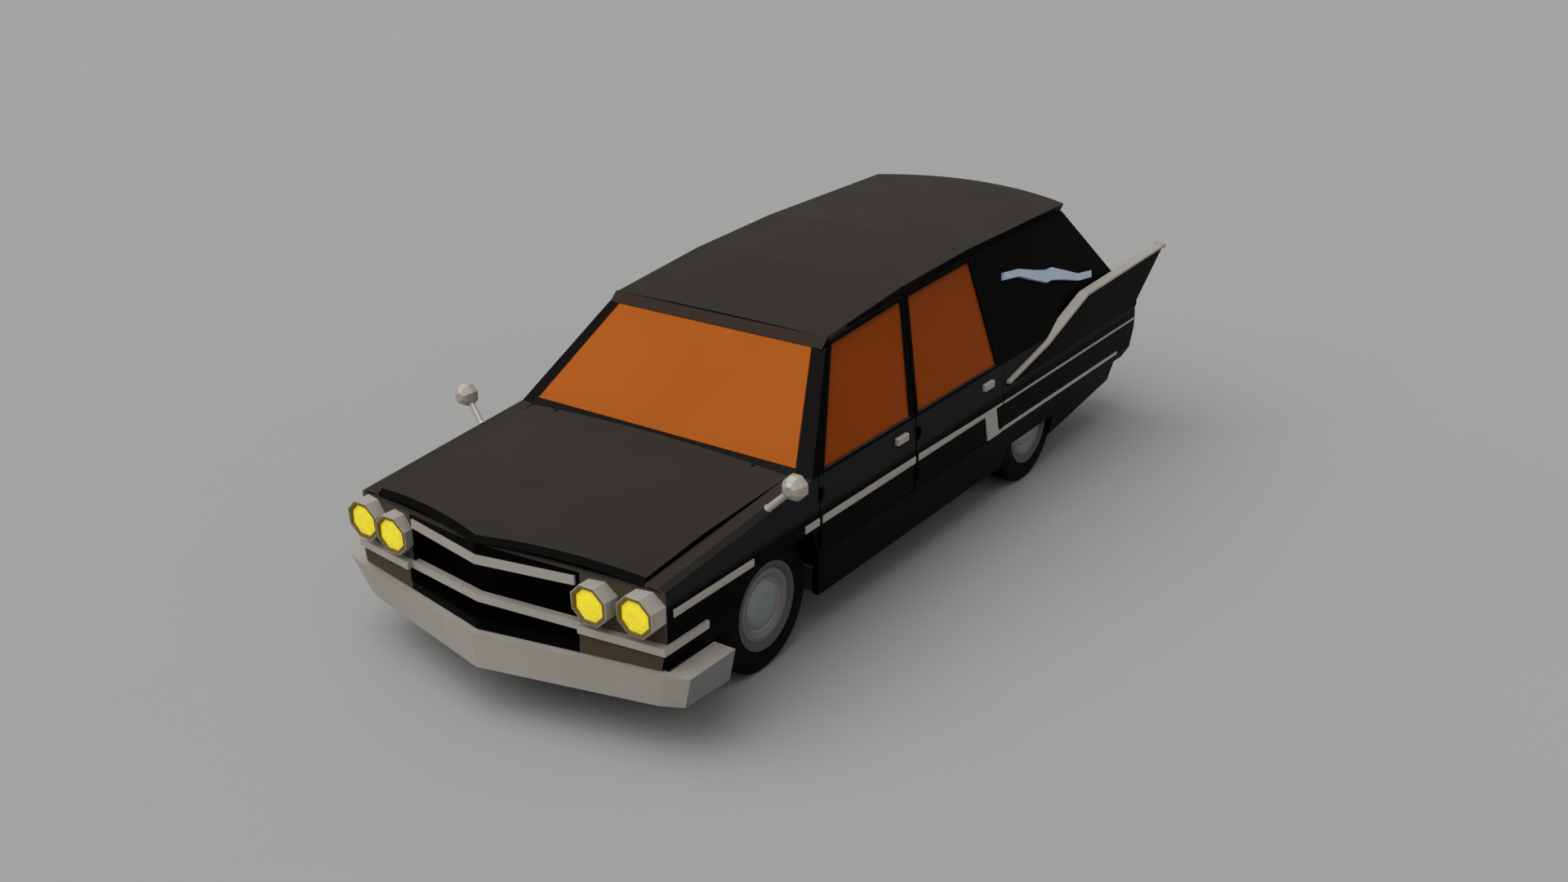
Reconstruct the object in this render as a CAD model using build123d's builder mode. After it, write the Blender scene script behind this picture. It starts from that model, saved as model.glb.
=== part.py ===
"""A long finned hearse: chassis, running gear, body panels, doors, glass and cabin as separate pieces."""
import os

from build123d import *

# Millimetres; X forward, Y to the left, Z up, origin on the ground under the middle.
FRONT_OVERHANG = 1216
WHEELBASE = 3037
REAR_OVERHANG = 1867
OVERALL_LENGTH = FRONT_OVERHANG + WHEELBASE + REAR_OVERHANG
FRONT_AXLE_X = OVERALL_LENGTH / 2 - FRONT_OVERHANG
REAR_AXLE_X = FRONT_AXLE_X - WHEELBASE

# Wheels
TYRE_RADIUS = 385
TYRE_WIDTH = 195
WHEEL_FACE_Y = 950
WHEEL_Y = WHEEL_FACE_Y - TYRE_WIDTH / 2
RIM_RADIUS = 190
RIM_WALL = 12
CAP_RADIUS = 141
SPINDLE_RADIUS = 28
KINGPIN_IN = 60
KINGPIN_RADIUS = 16
KINGPIN_Y = WHEEL_Y - KINGPIN_IN
SLIP = 0.3

# Side section of the body
SILL_Y, SILL_Z = 975, 255
CREASE_Y, CREASE_Z = 1034, 561
BODY_HALF, SHOULDER_Z = 1040, 776
BELT_Y, BELT_Z = 1026, 1017
GLASS_LEAN = 0.5
WALL_TOP_Z = 1760
SKIN = 12
WALL = 40
DOOR_WALL = 58
DOOR_GAP = 6
SPLIT_GAP = 7
DOOR_SHEAR = 0.36

# Stations along the body
NOSE_X = FRONT_AXLE_X + 1146
CORNER_X = FRONT_AXLE_X + 941
COWL_X = FRONT_AXLE_X - 269
DOOR_FRONT_X = FRONT_AXLE_X - 374
DOOR_SPLIT_X = FRONT_AXLE_X - 1379
DOOR_REAR_X = REAR_AXLE_X + 583
FIN_TIP_X = -OVERALL_LENGTH / 2
FIN_REACH = 405
TAIL_X = FIN_TIP_X + FIN_REACH

# Floor and chassis levels
RAIL_Y = 430
RAIL_WIDTH = 80
RAIL_LOW_Z = 330
RAIL_HEIGHT = 100
FLOOR_Z = RAIL_LOW_Z + RAIL_HEIGHT
SHEET = 12
DECK_Z = 612
DECK_STEP_X = DOOR_SPLIT_X - 215

# Roof stations: x, top edge, rail underside, crown
ROOF_HALF = 740
TAIL_CORNER_X = TAIL_X + 702
TAIL_BOW = 151
ROOF_FRONT_X = FRONT_AXLE_X - 868
RAIL_BAND = 110
HEADER_HALF = 678
ROOF_LINE = (
    (ROOF_FRONT_X, 1593, 1578, 8),
    (ROOF_FRONT_X - 786, 1675, 1618, 20),
    (ROOF_FRONT_X - 1575, 1712, 1646, 24),
    (TAIL_CORNER_X - TAIL_BOW - 26, 1714, 1650, 24),
)
ROOF_SHEET = 26
TAIL_RAKE = 0.78
TAIL_TOP_Z = 1709
TAIL_WALL = 45
GATE_HINGE_Y = 300
GATE_PIN_X, GATE_PIN_Z = TAIL_CORNER_X - TAIL_BOW - 10, 1696

SIDE_LINE = (
    (SILL_Y, SILL_Z),
    (CREASE_Y, CREASE_Z),
    (BODY_HALF, SHOULDER_Z),
    (BELT_Y, BELT_Z),
    (BELT_Y - GLASS_LEAN * (WALL_TOP_Z - BELT_Z), WALL_TOP_Z),
)

os.makedirs("parts", exist_ok=True)


def skin_y(z):
    """Half width of the outer skin at a height."""
    for (y0, z0), (y1, z1) in zip(SIDE_LINE, SIDE_LINE[1:]):
        if z <= z1:
            break
    return y0 + (y1 - y0) * (z - z0) / (z1 - z0)


def wall(outer, inner, low=SILL_Z, high=WALL_TOP_Z):
    """Section of the left side wall between two insets from the skin and two heights."""
    levels = [low] + [z for _, z in SIDE_LINE if low < z < high] + [high]
    face = [(skin_y(z) - outer, z) for z in levels]
    back = [(skin_y(z) - inner, z) for z in levels]
    return face + back[::-1]


def core(inset):
    """Section of everything inside an inset of the left skin."""
    return [(0, SILL_Z)] + [(y - inset, z) for y, z in SIDE_LINE] + [(0, WALL_TOP_Z)]


def rail_z(x):
    """Underside of the roof rail at a station."""
    for (x0, _, z0, _), (x1, _, z1, _) in zip(ROOF_LINE, ROOF_LINE[1:]):
        if x >= x1:
            break
    return z0 + (z1 - z0) * (x - x0) / (x1 - x0)


def between(a, b, z):
    """Place on a side-view line at a height."""
    return a[0] + (b[0] - a[0]) * (z - a[1]) / (b[1] - a[1])


def save(piece, name):
    piece.part.label = name
    export_step(piece.part, f"parts/{name}.step")


def save_pair(piece, name):
    """Writes a left-hand piece and its mirror image."""
    save_left = piece.part
    save_right = mirror(piece.part, about=Plane.XZ)
    for side, shape in (("left", save_left), ("right", save_right)):
        shape.label = f"{name}_{side}"
        export_step(shape, f"parts/{name}_{side}.step")


# Chassis frame: two rails that climb over the rear axle, with cross members
RAIL_FRONT_X = FRONT_AXLE_X + 1050
RAIL_REAR_X = TAIL_X + 40
JACK_X = FRONT_AXLE_X - 644
PAD_HEIGHT = 16
rail_top = [
    (RAIL_FRONT_X, FLOOR_Z),
    (REAR_AXLE_X + 860, FLOOR_Z),
    (REAR_AXLE_X + 600, DECK_Z - SHEET),
    (REAR_AXLE_X - 600, DECK_Z - SHEET),
    (REAR_AXLE_X - 860, FLOOR_Z + 80),
    (RAIL_REAR_X, FLOOR_Z + 80),
]
CROSS_MEMBERS = (
    (FRONT_AXLE_X + 800, RAIL_LOW_Z),
    (FRONT_AXLE_X - 900, RAIL_LOW_Z),
    (REAR_AXLE_X + 1000, RAIL_LOW_Z),
    (REAR_AXLE_X + 520, DECK_Z - SHEET - RAIL_HEIGHT),
    (REAR_AXLE_X - 540, DECK_Z - SHEET - RAIL_HEIGHT),
    (REAR_AXLE_X - 1250, FLOOR_Z + 80 - RAIL_HEIGHT),
)
with BuildPart() as frame:
    with BuildSketch(Plane.XZ.offset(-RAIL_Y - RAIL_WIDTH / 2)):
        Polygon(*rail_top, *[(x, z - RAIL_HEIGHT) for x, z in rail_top[::-1]], align=None)
    extrude(amount=RAIL_WIDTH)
    mirror(about=Plane.XZ)
    for x, z in CROSS_MEMBERS:
        with Locations((x, 0, z + RAIL_HEIGHT / 2)):
            Box(90, 2 * RAIL_Y, 70)
    for side in (1, -1):
        with Locations((JACK_X, side * RAIL_Y, RAIL_LOW_Z - PAD_HEIGHT / 2)):
            Box(100, RAIL_WIDTH, PAD_HEIGHT)
save(frame, "frame")

# Front suspension: cross beam, arms and towers up to the kingpins
ARM_DROP = 125
with BuildPart() as front_suspension:
    with Locations((FRONT_AXLE_X, 0, RAIL_LOW_Z - 45)):
        Box(150, 2 * RAIL_Y + RAIL_WIDTH, 90)
    with BuildSketch(Plane.XY.offset(TYRE_RADIUS - ARM_DROP - 15)):
        Polygon(
            (FRONT_AXLE_X + 70, RAIL_Y),
            (FRONT_AXLE_X + 32, KINGPIN_Y + 30),
            (FRONT_AXLE_X - 32, KINGPIN_Y + 30),
            (FRONT_AXLE_X - 70, RAIL_Y),
            align=None,
        )
    extrude(amount=-22)
    with BuildSketch(Plane.XY.offset(TYRE_RADIUS + ARM_DROP + 15)):
        Polygon(
            (FRONT_AXLE_X + 70, RAIL_Y + RAIL_WIDTH / 2 - 40),
            (FRONT_AXLE_X + 28, KINGPIN_Y + 28),
            (FRONT_AXLE_X - 28, KINGPIN_Y + 28),
            (FRONT_AXLE_X - 70, RAIL_Y + RAIL_WIDTH / 2 - 40),
            align=None,
        )
    extrude(amount=20)
    with BuildSketch(Plane.XY.offset(FLOOR_Z)):
        with Locations((FRONT_AXLE_X, RAIL_Y)):
            Rectangle(150, RAIL_WIDTH)
    extrude(amount=TYRE_RADIUS + ARM_DROP + 35 - FLOOR_Z)
    with Locations((FRONT_AXLE_X, KINGPIN_Y, TYRE_RADIUS)):
        Cylinder(KINGPIN_RADIUS + SLIP, 4 * ARM_DROP, mode=Mode.SUBTRACT)
    mirror(about=Plane.XZ)
save(front_suspension, "front_suspension")

# Steering knuckle: kingpin, spindle and brake back plate
with BuildPart() as knuckle:
    with Locations((FRONT_AXLE_X, KINGPIN_Y, TYRE_RADIUS)):
        Cylinder(24, 2 * ARM_DROP + 18)
        Cylinder(KINGPIN_RADIUS, 2 * ARM_DROP + 64)
    with BuildSketch(Plane.XZ.offset(-KINGPIN_Y)):
        with Locations((FRONT_AXLE_X, TYRE_RADIUS)):
            Circle(SPINDLE_RADIUS)
    extrude(amount=-(KINGPIN_IN + 18))
    with BuildSketch(Plane.XZ.offset(-KINGPIN_Y - 14)):
        with Locations((FRONT_AXLE_X, TYRE_RADIUS)):
            Circle(105)
    extrude(amount=-10)
save_pair(knuckle, "knuckle")

# Rear axle: tube, differential, leaf springs and their hangers
SPRING_X = 560
with BuildPart() as rear_axle:
    with BuildSketch(Plane.XZ.offset(-(WHEEL_Y - 60))):
        with Locations((REAR_AXLE_X, TYRE_RADIUS)):
            Circle(44)
    extrude(amount=2 * (WHEEL_Y - 60))
    with BuildSketch(Plane.XZ.offset(-(WHEEL_Y + 18))):
        with Locations((REAR_AXLE_X, TYRE_RADIUS)):
            Circle(SPINDLE_RADIUS)
    extrude(amount=2 * (WHEEL_Y + 18))
    with Locations((REAR_AXLE_X, 0, TYRE_RADIUS)):
        Sphere(125)
    for side in (1, -1):
        with Locations((REAR_AXLE_X, side * RAIL_Y, TYRE_RADIUS + 55)):
            Box(2 * SPRING_X, 62, 36)
        for end in (1, -1):
            with Locations((REAR_AXLE_X + end * (SPRING_X - 30), side * RAIL_Y, TYRE_RADIUS + 85)):
                Box(60, 62, 2 * (DECK_Z - SHEET - RAIL_HEIGHT - TYRE_RADIUS - 85))
save(rear_axle, "rear_axle")

# Wheels: steel rim with disc, trim ring and domed cap, and the tyre around it
RIM_HALF = 85
rim_line = [
    (SPINDLE_RADIUS + SLIP, -28),
    (62, -28),
    (62, 8),
    (RIM_RADIUS - RIM_WALL, 8),
    (RIM_RADIUS - RIM_WALL, -RIM_HALF),
    (RIM_RADIUS + 15, -RIM_HALF),
    (RIM_RADIUS + 15, -RIM_HALF + 6),
    (RIM_RADIUS, -RIM_HALF + 6),
    (RIM_RADIUS, RIM_HALF - 6),
    (RIM_RADIUS + 15, RIM_HALF - 6),
    (RIM_RADIUS + 15, RIM_HALF),
    (CAP_RADIUS + 42, RIM_HALF + 2),
    (CAP_RADIUS, RIM_HALF - 16),
    (CAP_RADIUS - 12, RIM_HALF - 6),
    (CAP_RADIUS - 55, RIM_HALF + 5),
    (0, RIM_HALF + 9),
    (0, 24),
    (SPINDLE_RADIUS + SLIP, 24),
]
TYRE_HALF = TYRE_WIDTH / 2
tyre_line = [
    (RIM_RADIUS + SLIP, -RIM_HALF + 6),
    (RIM_RADIUS + SLIP, RIM_HALF - 6),
    (RIM_RADIUS + 16, RIM_HALF - 6),
    (RIM_RADIUS + 18, RIM_HALF + 2),
    (RIM_RADIUS + 62, TYRE_HALF),
    (TYRE_RADIUS - 60, TYRE_HALF),
    (TYRE_RADIUS - 22, TYRE_HALF - 8),
    (TYRE_RADIUS - 6, TYRE_HALF - 22),
    (TYRE_RADIUS, TYRE_HALF - 42),
]
tyre_line = tyre_line + [(r, -y) for r, y in tyre_line[:1:-1]]
AXLES = (("front", FRONT_AXLE_X), ("rear", REAR_AXLE_X))
for axle, axle_x in AXLES:
    hub = Plane(origin=(axle_x, WHEEL_Y, TYRE_RADIUS), x_dir=(1, 0, 0), z_dir=(0, 0, 1))
    with BuildPart() as wheel:
        with BuildSketch(hub):
            Polygon(*rim_line, align=None)
        revolve(axis=Axis((axle_x, WHEEL_Y, TYRE_RADIUS), (0, 1, 0)))
    save_pair(wheel, f"wheel_{axle}")
    with BuildPart() as tyre:
        with BuildSketch(hub):
            Polygon(*tyre_line, align=None)
        revolve(axis=Axis((axle_x, WHEEL_Y, TYRE_RADIUS), (0, 1, 0)))
    save_pair(tyre, f"tyre_{axle}")

# Engine with its gearbox, and the radiator block ahead of it
with BuildPart() as engine:
    with Locations((FRONT_AXLE_X + 120, 0, 620)):
        Box(760, 480, 420)
    with Locations((FRONT_AXLE_X + 120, 0, RAIL_LOW_Z + 60)):
        Box(700, 2 * RAIL_Y - RAIL_WIDTH, 60)
    with BuildSketch(Plane.YZ.offset(FRONT_AXLE_X - 260)):
        with Locations((0, 470)):
            Circle(150)
    extrude(amount=-150)
    with Locations((FRONT_AXLE_X + 800, 0, RAIL_LOW_Z + RAIL_HEIGHT - 15 + 240)):
        Box(80, 2 * RAIL_Y - RAIL_WIDTH, 480)
save(engine, "engine")

# Exhaust under the right-hand side and the fuel tank behind the axle
PIPE_Y = -290
PIPE_Z = 270
with BuildPart() as exhaust:
    with BuildSketch(Plane.YZ.offset(FRONT_AXLE_X - 300)):
        with Locations((PIPE_Y, PIPE_Z)):
            Circle(26)
    extrude(amount=-(FRONT_AXLE_X - 300 - TAIL_X - 200))
    with BuildSketch(Plane.YZ.offset(REAR_AXLE_X + 1500)):
        with Locations((PIPE_Y, PIPE_Z)):
            Ellipse(105, 58)
    extrude(amount=-640)
    for x, z in (CROSS_MEMBERS[1], CROSS_MEMBERS[5]):
        with Locations((x, PIPE_Y, (PIPE_Z + z + 15) / 2)):
            Box(30, 24, z + 15 - PIPE_Z)
save(exhaust, "exhaust")

with BuildPart() as fuel_tank:
    with Locations((REAR_AXLE_X - 895, 60, CROSS_MEMBERS[5][1] - 10)):
        Box(596, 560, 160)
    fillet(fuel_tank.edges().filter_by(Axis.X), 30)
    with Locations((REAR_AXLE_X - 900, 60, (DECK_Z - SHEET + CROSS_MEMBERS[5][1]) / 2)):
        Box(60, 560, DECK_Z - SHEET - CROSS_MEMBERS[5][1])
save(fuel_tank, "fuel_tank")

# Floor: front pan, riser and load floor, with wheel houses over the rear tyres
FLOOR_HALF = 935
DECK_HALF_WIDTH = 880
HOUSE_Y = WHEEL_FACE_Y - TYRE_WIDTH - 25
HOUSE_X = TYRE_RADIUS + 35
HOUSE_TOP_Z = 2 * TYRE_RADIUS + 45
HOUSE_LOW_Z = 440
FIREWALL_X = FRONT_AXLE_X - 444
TAIL_PANEL_X = TAIL_CORNER_X - TAIL_RAKE * (TAIL_TOP_Z - BELT_Z) + TAIL_WALL
deck_line = [
    (DECK_STEP_X, FLOOR_Z),
    (DECK_STEP_X, DECK_Z - SHEET),
    (TAIL_PANEL_X, DECK_Z - SHEET),
    (TAIL_PANEL_X, DECK_Z),
    (DECK_STEP_X + SHEET, DECK_Z),
    (DECK_STEP_X + SHEET, FLOOR_Z),
]
with BuildPart() as floor_pan:
    with Locations(((DECK_STEP_X + FIREWALL_X) / 2, 0, FLOOR_Z + SHEET / 2)):
        Box(FIREWALL_X - DECK_STEP_X, 2 * FLOOR_HALF, SHEET)
    with BuildSketch(Plane.XZ.offset(-DECK_HALF_WIDTH)):
        Polygon(*deck_line, align=None)
    extrude(amount=2 * DECK_HALF_WIDTH)
    for side in (1, -1):
        house_y = side * (HOUSE_Y - SHEET + FLOOR_HALF) / 2
        with Locations((REAR_AXLE_X, house_y, (HOUSE_LOW_Z + HOUSE_TOP_Z + SHEET) / 2)):
            Box(2 * (HOUSE_X + SHEET), FLOOR_HALF - HOUSE_Y + SHEET, HOUSE_TOP_Z + SHEET - HOUSE_LOW_Z)
        with Locations((REAR_AXLE_X, side * (HOUSE_Y + FLOOR_HALF) / 2, HOUSE_TOP_Z / 2)):
            Box(2 * HOUSE_X, FLOOR_HALF - HOUSE_Y, HOUSE_TOP_Z, mode=Mode.SUBTRACT)
save(floor_pan, "floor_pan")

# Windshield: a flat raked pane in a trapezoid outline
PANE = 6
SHIELD_FOOT_X, SHIELD_FOOT_Z = FRONT_AXLE_X - 320, 1051
SHIELD_RISE = 491
SHIELD_FOOT_HALF = 914
SHIELD_TOP_HALF = 683
shield_plane = Plane(
    origin=(SHIELD_FOOT_X, 0, SHIELD_FOOT_Z), x_dir=(0, 1, 0), z_dir=(1, 0, 1)
)
SHIELD_LENGTH = SHIELD_RISE * 2**0.5
with BuildPart() as windshield:
    with BuildSketch(shield_plane):
        Polygon(
            (-SHIELD_FOOT_HALF, 0),
            (SHIELD_FOOT_HALF, 0),
            (SHIELD_TOP_HALF, SHIELD_LENGTH),
            (-SHIELD_TOP_HALF, SHIELD_LENGTH),
            align=None,
        )
    extrude(amount=-PANE)
save(windshield, "windshield")

# Cowl: firewall, plenum, hinge posts and the pillars beside the windshield
HEADER_Z = 1538
POST_LOW_Z = 742
POST_REAR_X = DOOR_FRONT_X + 27
POST_FRONT_X = COWL_X - 15
PILLAR_GAP = 8
HINGE_Y = BODY_HALF + 3
REAR_HINGE_X = DOOR_SPLIT_X - SPLIT_GAP - 10
HINGE_LEVELS = (650, 915)
PIN_RADIUS = 6
EAR_RADIUS = 12
LEAF = 3
DOOR_LEAN = ((DOOR_FRONT_X, BELT_Z), (DOOR_FRONT_X - 510, 1572))
SHIELD_X = SHIELD_FOOT_X + SHIELD_FOOT_Z
HOOD_HINGES = (700,)
HOOD_PIN_X, HOOD_PIN_Z = COWL_X + 18, 1021
cowl_line = [
    (FIREWALL_X - SHEET, FLOOR_Z + SHEET),
    (FIREWALL_X - SHEET, BELT_Z + 18),
    (SHIELD_FOOT_X - 30, SHIELD_FOOT_Z - 4),
    (SHIELD_FOOT_X, SHIELD_FOOT_Z),
    (COWL_X, SHIELD_FOOT_Z - 38),
    (COWL_X, SHIELD_FOOT_Z - 68),
    (FIREWALL_X, SHIELD_FOOT_Z - 68),
    (FIREWALL_X, FLOOR_Z + SHEET),
]
COWL_HALF = SHIELD_FOOT_HALF + 16
pillar_top_x = between(*DOOR_LEAN, HEADER_Z) + PILLAR_GAP
pillar_top_y = skin_y(HEADER_Z)
with BuildPart() as cowl:
    with BuildSketch(Plane.XZ.offset(-COWL_HALF)):
        Polygon(*cowl_line, align=None)
    extrude(amount=2 * COWL_HALF)
    for side in (1, -1):
        with BuildSketch(Plane.YZ.offset(POST_REAR_X)):
            Polygon(*[(side * y, z) for y, z in wall(SKIN, 130, POST_LOW_Z, BELT_Z)], align=None)
        extrude(amount=POST_FRONT_X - POST_REAR_X)
        kick_x = (FIREWALL_X + POST_FRONT_X) / 2
        with Locations((kick_x, side * (COWL_HALF - SHEET), (POST_LOW_Z + BELT_Z) / 2)):
            Box(POST_FRONT_X - FIREWALL_X, 2 * SHEET, BELT_Z - POST_LOW_Z)
        with BuildSketch(Plane.XY.offset(BELT_Z)):
            Polygon(
                (COWL_X - 39, side * BELT_Y),
                (DOOR_FRONT_X + PILLAR_GAP, side * BELT_Y),
                (DOOR_FRONT_X + PILLAR_GAP, side * (BELT_Y - 66)),
                (SHIELD_X - BELT_Z, side * (SHIELD_FOOT_HALF - 2)),
                align=None,
            )
        with BuildSketch(Plane.XY.offset(HEADER_Z)):
            Polygon(
                (SHIELD_X - HEADER_Z - 15, side * pillar_top_y),
                (pillar_top_x, side * pillar_top_y),
                (pillar_top_x, side * (pillar_top_y - 60)),
                (SHIELD_X - HEADER_Z, side * (SHIELD_TOP_HALF - 8)),
                align=None,
            )
        loft(ruled=True)
    for side in (1, -1):
        for z in HINGE_LEVELS:
            with Locations((DOOR_FRONT_X, side * HINGE_Y, z)):
                Cylinder(PIN_RADIUS, 70)
            with Locations((DOOR_FRONT_X + 5, side * (HINGE_Y - 30), z - 25)):
                Box(LEAF, 60, 20)
            with Locations((DOOR_FRONT_X + 2, side * HINGE_Y, z - 25)):
                Box(9, 10, 20)
            with Locations((DOOR_FRONT_X + 17, side * (HINGE_Y - 52), z - 25)):
                Box(26, 16, 20)
        post_low, post_high = HINGE_LEVELS[0] - 35, BELT_Z - 80
        with Locations((DOOR_FRONT_X + 29, side * (HINGE_Y - 62), (post_low + post_high) / 2)):
            Box(12, 36, post_high - post_low)
        for y in HOOD_HINGES:
            with Locations((COWL_X + 8, side * y, HOOD_PIN_Z)):
                Box(40, 30, 22)
            with BuildSketch(Plane.XZ.offset(-side * y - 45)):
                with Locations((HOOD_PIN_X, HOOD_PIN_Z)):
                    Circle(PIN_RADIUS)
            extrude(amount=90)
    add(windshield.part, mode=Mode.SUBTRACT)
save(cowl, "cowl")

# Roof: crowned shell with side rails and the header over the windshield
with BuildPart() as roof:
    for x, top, low, crown in ROOF_LINE:
        liner = top - ROOF_SHEET + crown * 0.2
        with BuildSketch(Plane.YZ.offset(x)):
            with BuildLine():
                Polyline((-ROOF_HALF, top), (-skin_y(low), low), (-skin_y(low) + RAIL_BAND, low))
                Line((-skin_y(low) + RAIL_BAND, low), (-ROOF_HALF + RAIL_BAND, liner))
                ThreePointArc(
                    (-ROOF_HALF + RAIL_BAND, liner),
                    (0, top + crown - ROOF_SHEET),
                    (ROOF_HALF - RAIL_BAND, liner),
                )
                Polyline(
                    (ROOF_HALF - RAIL_BAND, liner),
                    (skin_y(low) - RAIL_BAND, low),
                    (skin_y(low), low),
                    (ROOF_HALF, top),
                )
                ThreePointArc((ROOF_HALF, top), (0, top + crown), (-ROOF_HALF, top))
            make_face()
    loft(ruled=True)
    with BuildSketch(Plane.XY.offset(1500)):
        with BuildLine():
            ThreePointArc(
                (TAIL_CORNER_X, ROOF_HALF + 20),
                (TAIL_CORNER_X - TAIL_BOW, 0),
                (TAIL_CORNER_X, -ROOF_HALF - 20),
            )
            Polyline(
                (TAIL_CORNER_X, -ROOF_HALF - 20),
                (TAIL_CORNER_X - 900, -ROOF_HALF - 20),
                (TAIL_CORNER_X - 900, ROOF_HALF + 20),
                (TAIL_CORNER_X, ROOF_HALF + 20),
            )
        make_face()
    extrude(amount=400, mode=Mode.SUBTRACT)
    for half, rear_low_x, rear_high_x in (
        (HEADER_HALF, ROOF_FRONT_X - 30, ROOF_FRONT_X - 30),
        (ROOF_HALF + 10, pillar_top_x, between(*DOOR_LEAN, ROOF_LINE[0][2]) + PILLAR_GAP),
    ):
        with BuildSketch(Plane.XZ.offset(-half)):
            Polygon(
                (rear_high_x, ROOF_LINE[0][2]),
                (ROOF_FRONT_X, ROOF_LINE[0][1]),
                (ROOF_FRONT_X + 6, ROOF_LINE[0][1] - 2),
                (SHIELD_X - HEADER_Z - 2, HEADER_Z + 5),
                (SHIELD_X - HEADER_Z - 8, HEADER_Z),
                (rear_low_x, HEADER_Z),
                align=None,
            )
        extrude(amount=2 * half)
    add(windshield.part, mode=Mode.SUBTRACT)
    for side in (1, -1):
        with Locations((GATE_PIN_X + 22, side * GATE_HINGE_Y, GATE_PIN_Z + 8)):
            Box(64, 40, 28)
        with BuildSketch(Plane.XZ.offset(-side * GATE_HINGE_Y - 45)):
            with Locations((GATE_PIN_X, GATE_PIN_Z)):
                Circle(PIN_RADIUS)
        extrude(amount=90)
save(roof, "roof")

# Body sides: rocker, post between the doors and quarter with the skirted wheel opening
ARCH_TOP_Z = 727
SKIRT_Z = 395
ROCKER_TOP_Z = CREASE_Z - DOOR_GAP / 2
QUARTER_X = DOOR_REAR_X - DOOR_GAP
SPLIT_LEAN = ((DOOR_SPLIT_X, BELT_Z), (DOOR_SPLIT_X - 329, 1593))
REAR_LEAN = ((DOOR_REAR_X, BELT_Z), (DOOR_REAR_X - 128, 1640))
quarter_top_x = between(*REAR_LEAN, rail_z(QUARTER_X - 130)) - DOOR_GAP


def rake_x(z):
    """Tail end of the side wall at a height of the raked rear."""
    return TAIL_CORNER_X - TAIL_RAKE * (TAIL_TOP_Z - z)


side_view = [
    (FRONT_AXLE_X - 455, SILL_Z),
    (FRONT_AXLE_X - 385, 500),
    (FRONT_AXLE_X - 362, ROCKER_TOP_Z),
    (QUARTER_X, ROCKER_TOP_Z),
    (QUARTER_X, BELT_Z),
    (quarter_top_x, rail_z(quarter_top_x)),
    (rake_x(1650), rail_z(rake_x(1650))),
    (rake_x(BELT_Z), BELT_Z),
    (TAIL_X + 5, 905),
    (TAIL_X, 690),
    (TAIL_X + 46, 550),
    (TAIL_X + 153, 507),
    (TAIL_X + 282, 507),
    (TAIL_X + 314, 371),
    (REAR_AXLE_X - 394, 314),
    (REAR_AXLE_X - 390, SKIRT_Z),
    (REAR_AXLE_X + 395, SKIRT_Z),
    (REAR_AXLE_X + 425, SILL_Z),
]
post_view = [
    (DOOR_SPLIT_X + 40, ROCKER_TOP_Z),
    (DOOR_SPLIT_X + 40, BELT_Z),
    (DOOR_SPLIT_X - 310, rail_z(DOOR_SPLIT_X - 310)),
    (DOOR_SPLIT_X - 380, rail_z(DOOR_SPLIT_X - 380)),
    (DOOR_SPLIT_X - 40, BELT_Z),
    (DOOR_SPLIT_X - 40, ROCKER_TOP_Z),
]
with BuildPart() as centre_post:
    with BuildSketch(Plane.YZ.offset(DOOR_SPLIT_X - 600)):
        Polygon(*wall(DOOR_WALL + DOOR_GAP, 104), align=None)
    extrude(amount=900)
    with BuildSketch(Plane.XZ):
        Polygon(*post_view, align=None)
    extrude(amount=-1200, mode=Mode.INTERSECT)

with BuildPart() as body_side:
    with BuildSketch(Plane.YZ.offset(TAIL_X - 20)):
        Polygon(*wall(0, WALL), align=None)
    extrude(amount=COWL_X - TAIL_X)
    with BuildSketch(Plane.XZ):
        Polygon(*side_view, align=None)
    extrude(amount=-1200, mode=Mode.INTERSECT)
    add(centre_post.part)
    with BuildSketch(Plane.YZ.offset(QUARTER_X + 20)):
        Polygon(*wall(WALL - 5, 110, FLOOR_Z + SHEET, ROCKER_TOP_Z), align=None)
    extrude(amount=FIREWALL_X - 20 - QUARTER_X - 20)
    for z in HINGE_LEVELS:
        with Locations((REAR_HINGE_X, HINGE_Y, z)):
            Cylinder(PIN_RADIUS, 70)
        with Locations((DOOR_SPLIT_X, HINGE_Y - 45, z - 25)):
            Box(LEAF, 92, 20)
        with Locations(((REAR_HINGE_X + DOOR_SPLIT_X) / 2, HINGE_Y, z - 25)):
            Box(DOOR_SPLIT_X - REAR_HINGE_X + LEAF, 10, 20)
save_pair(body_side, "body_side")

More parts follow.
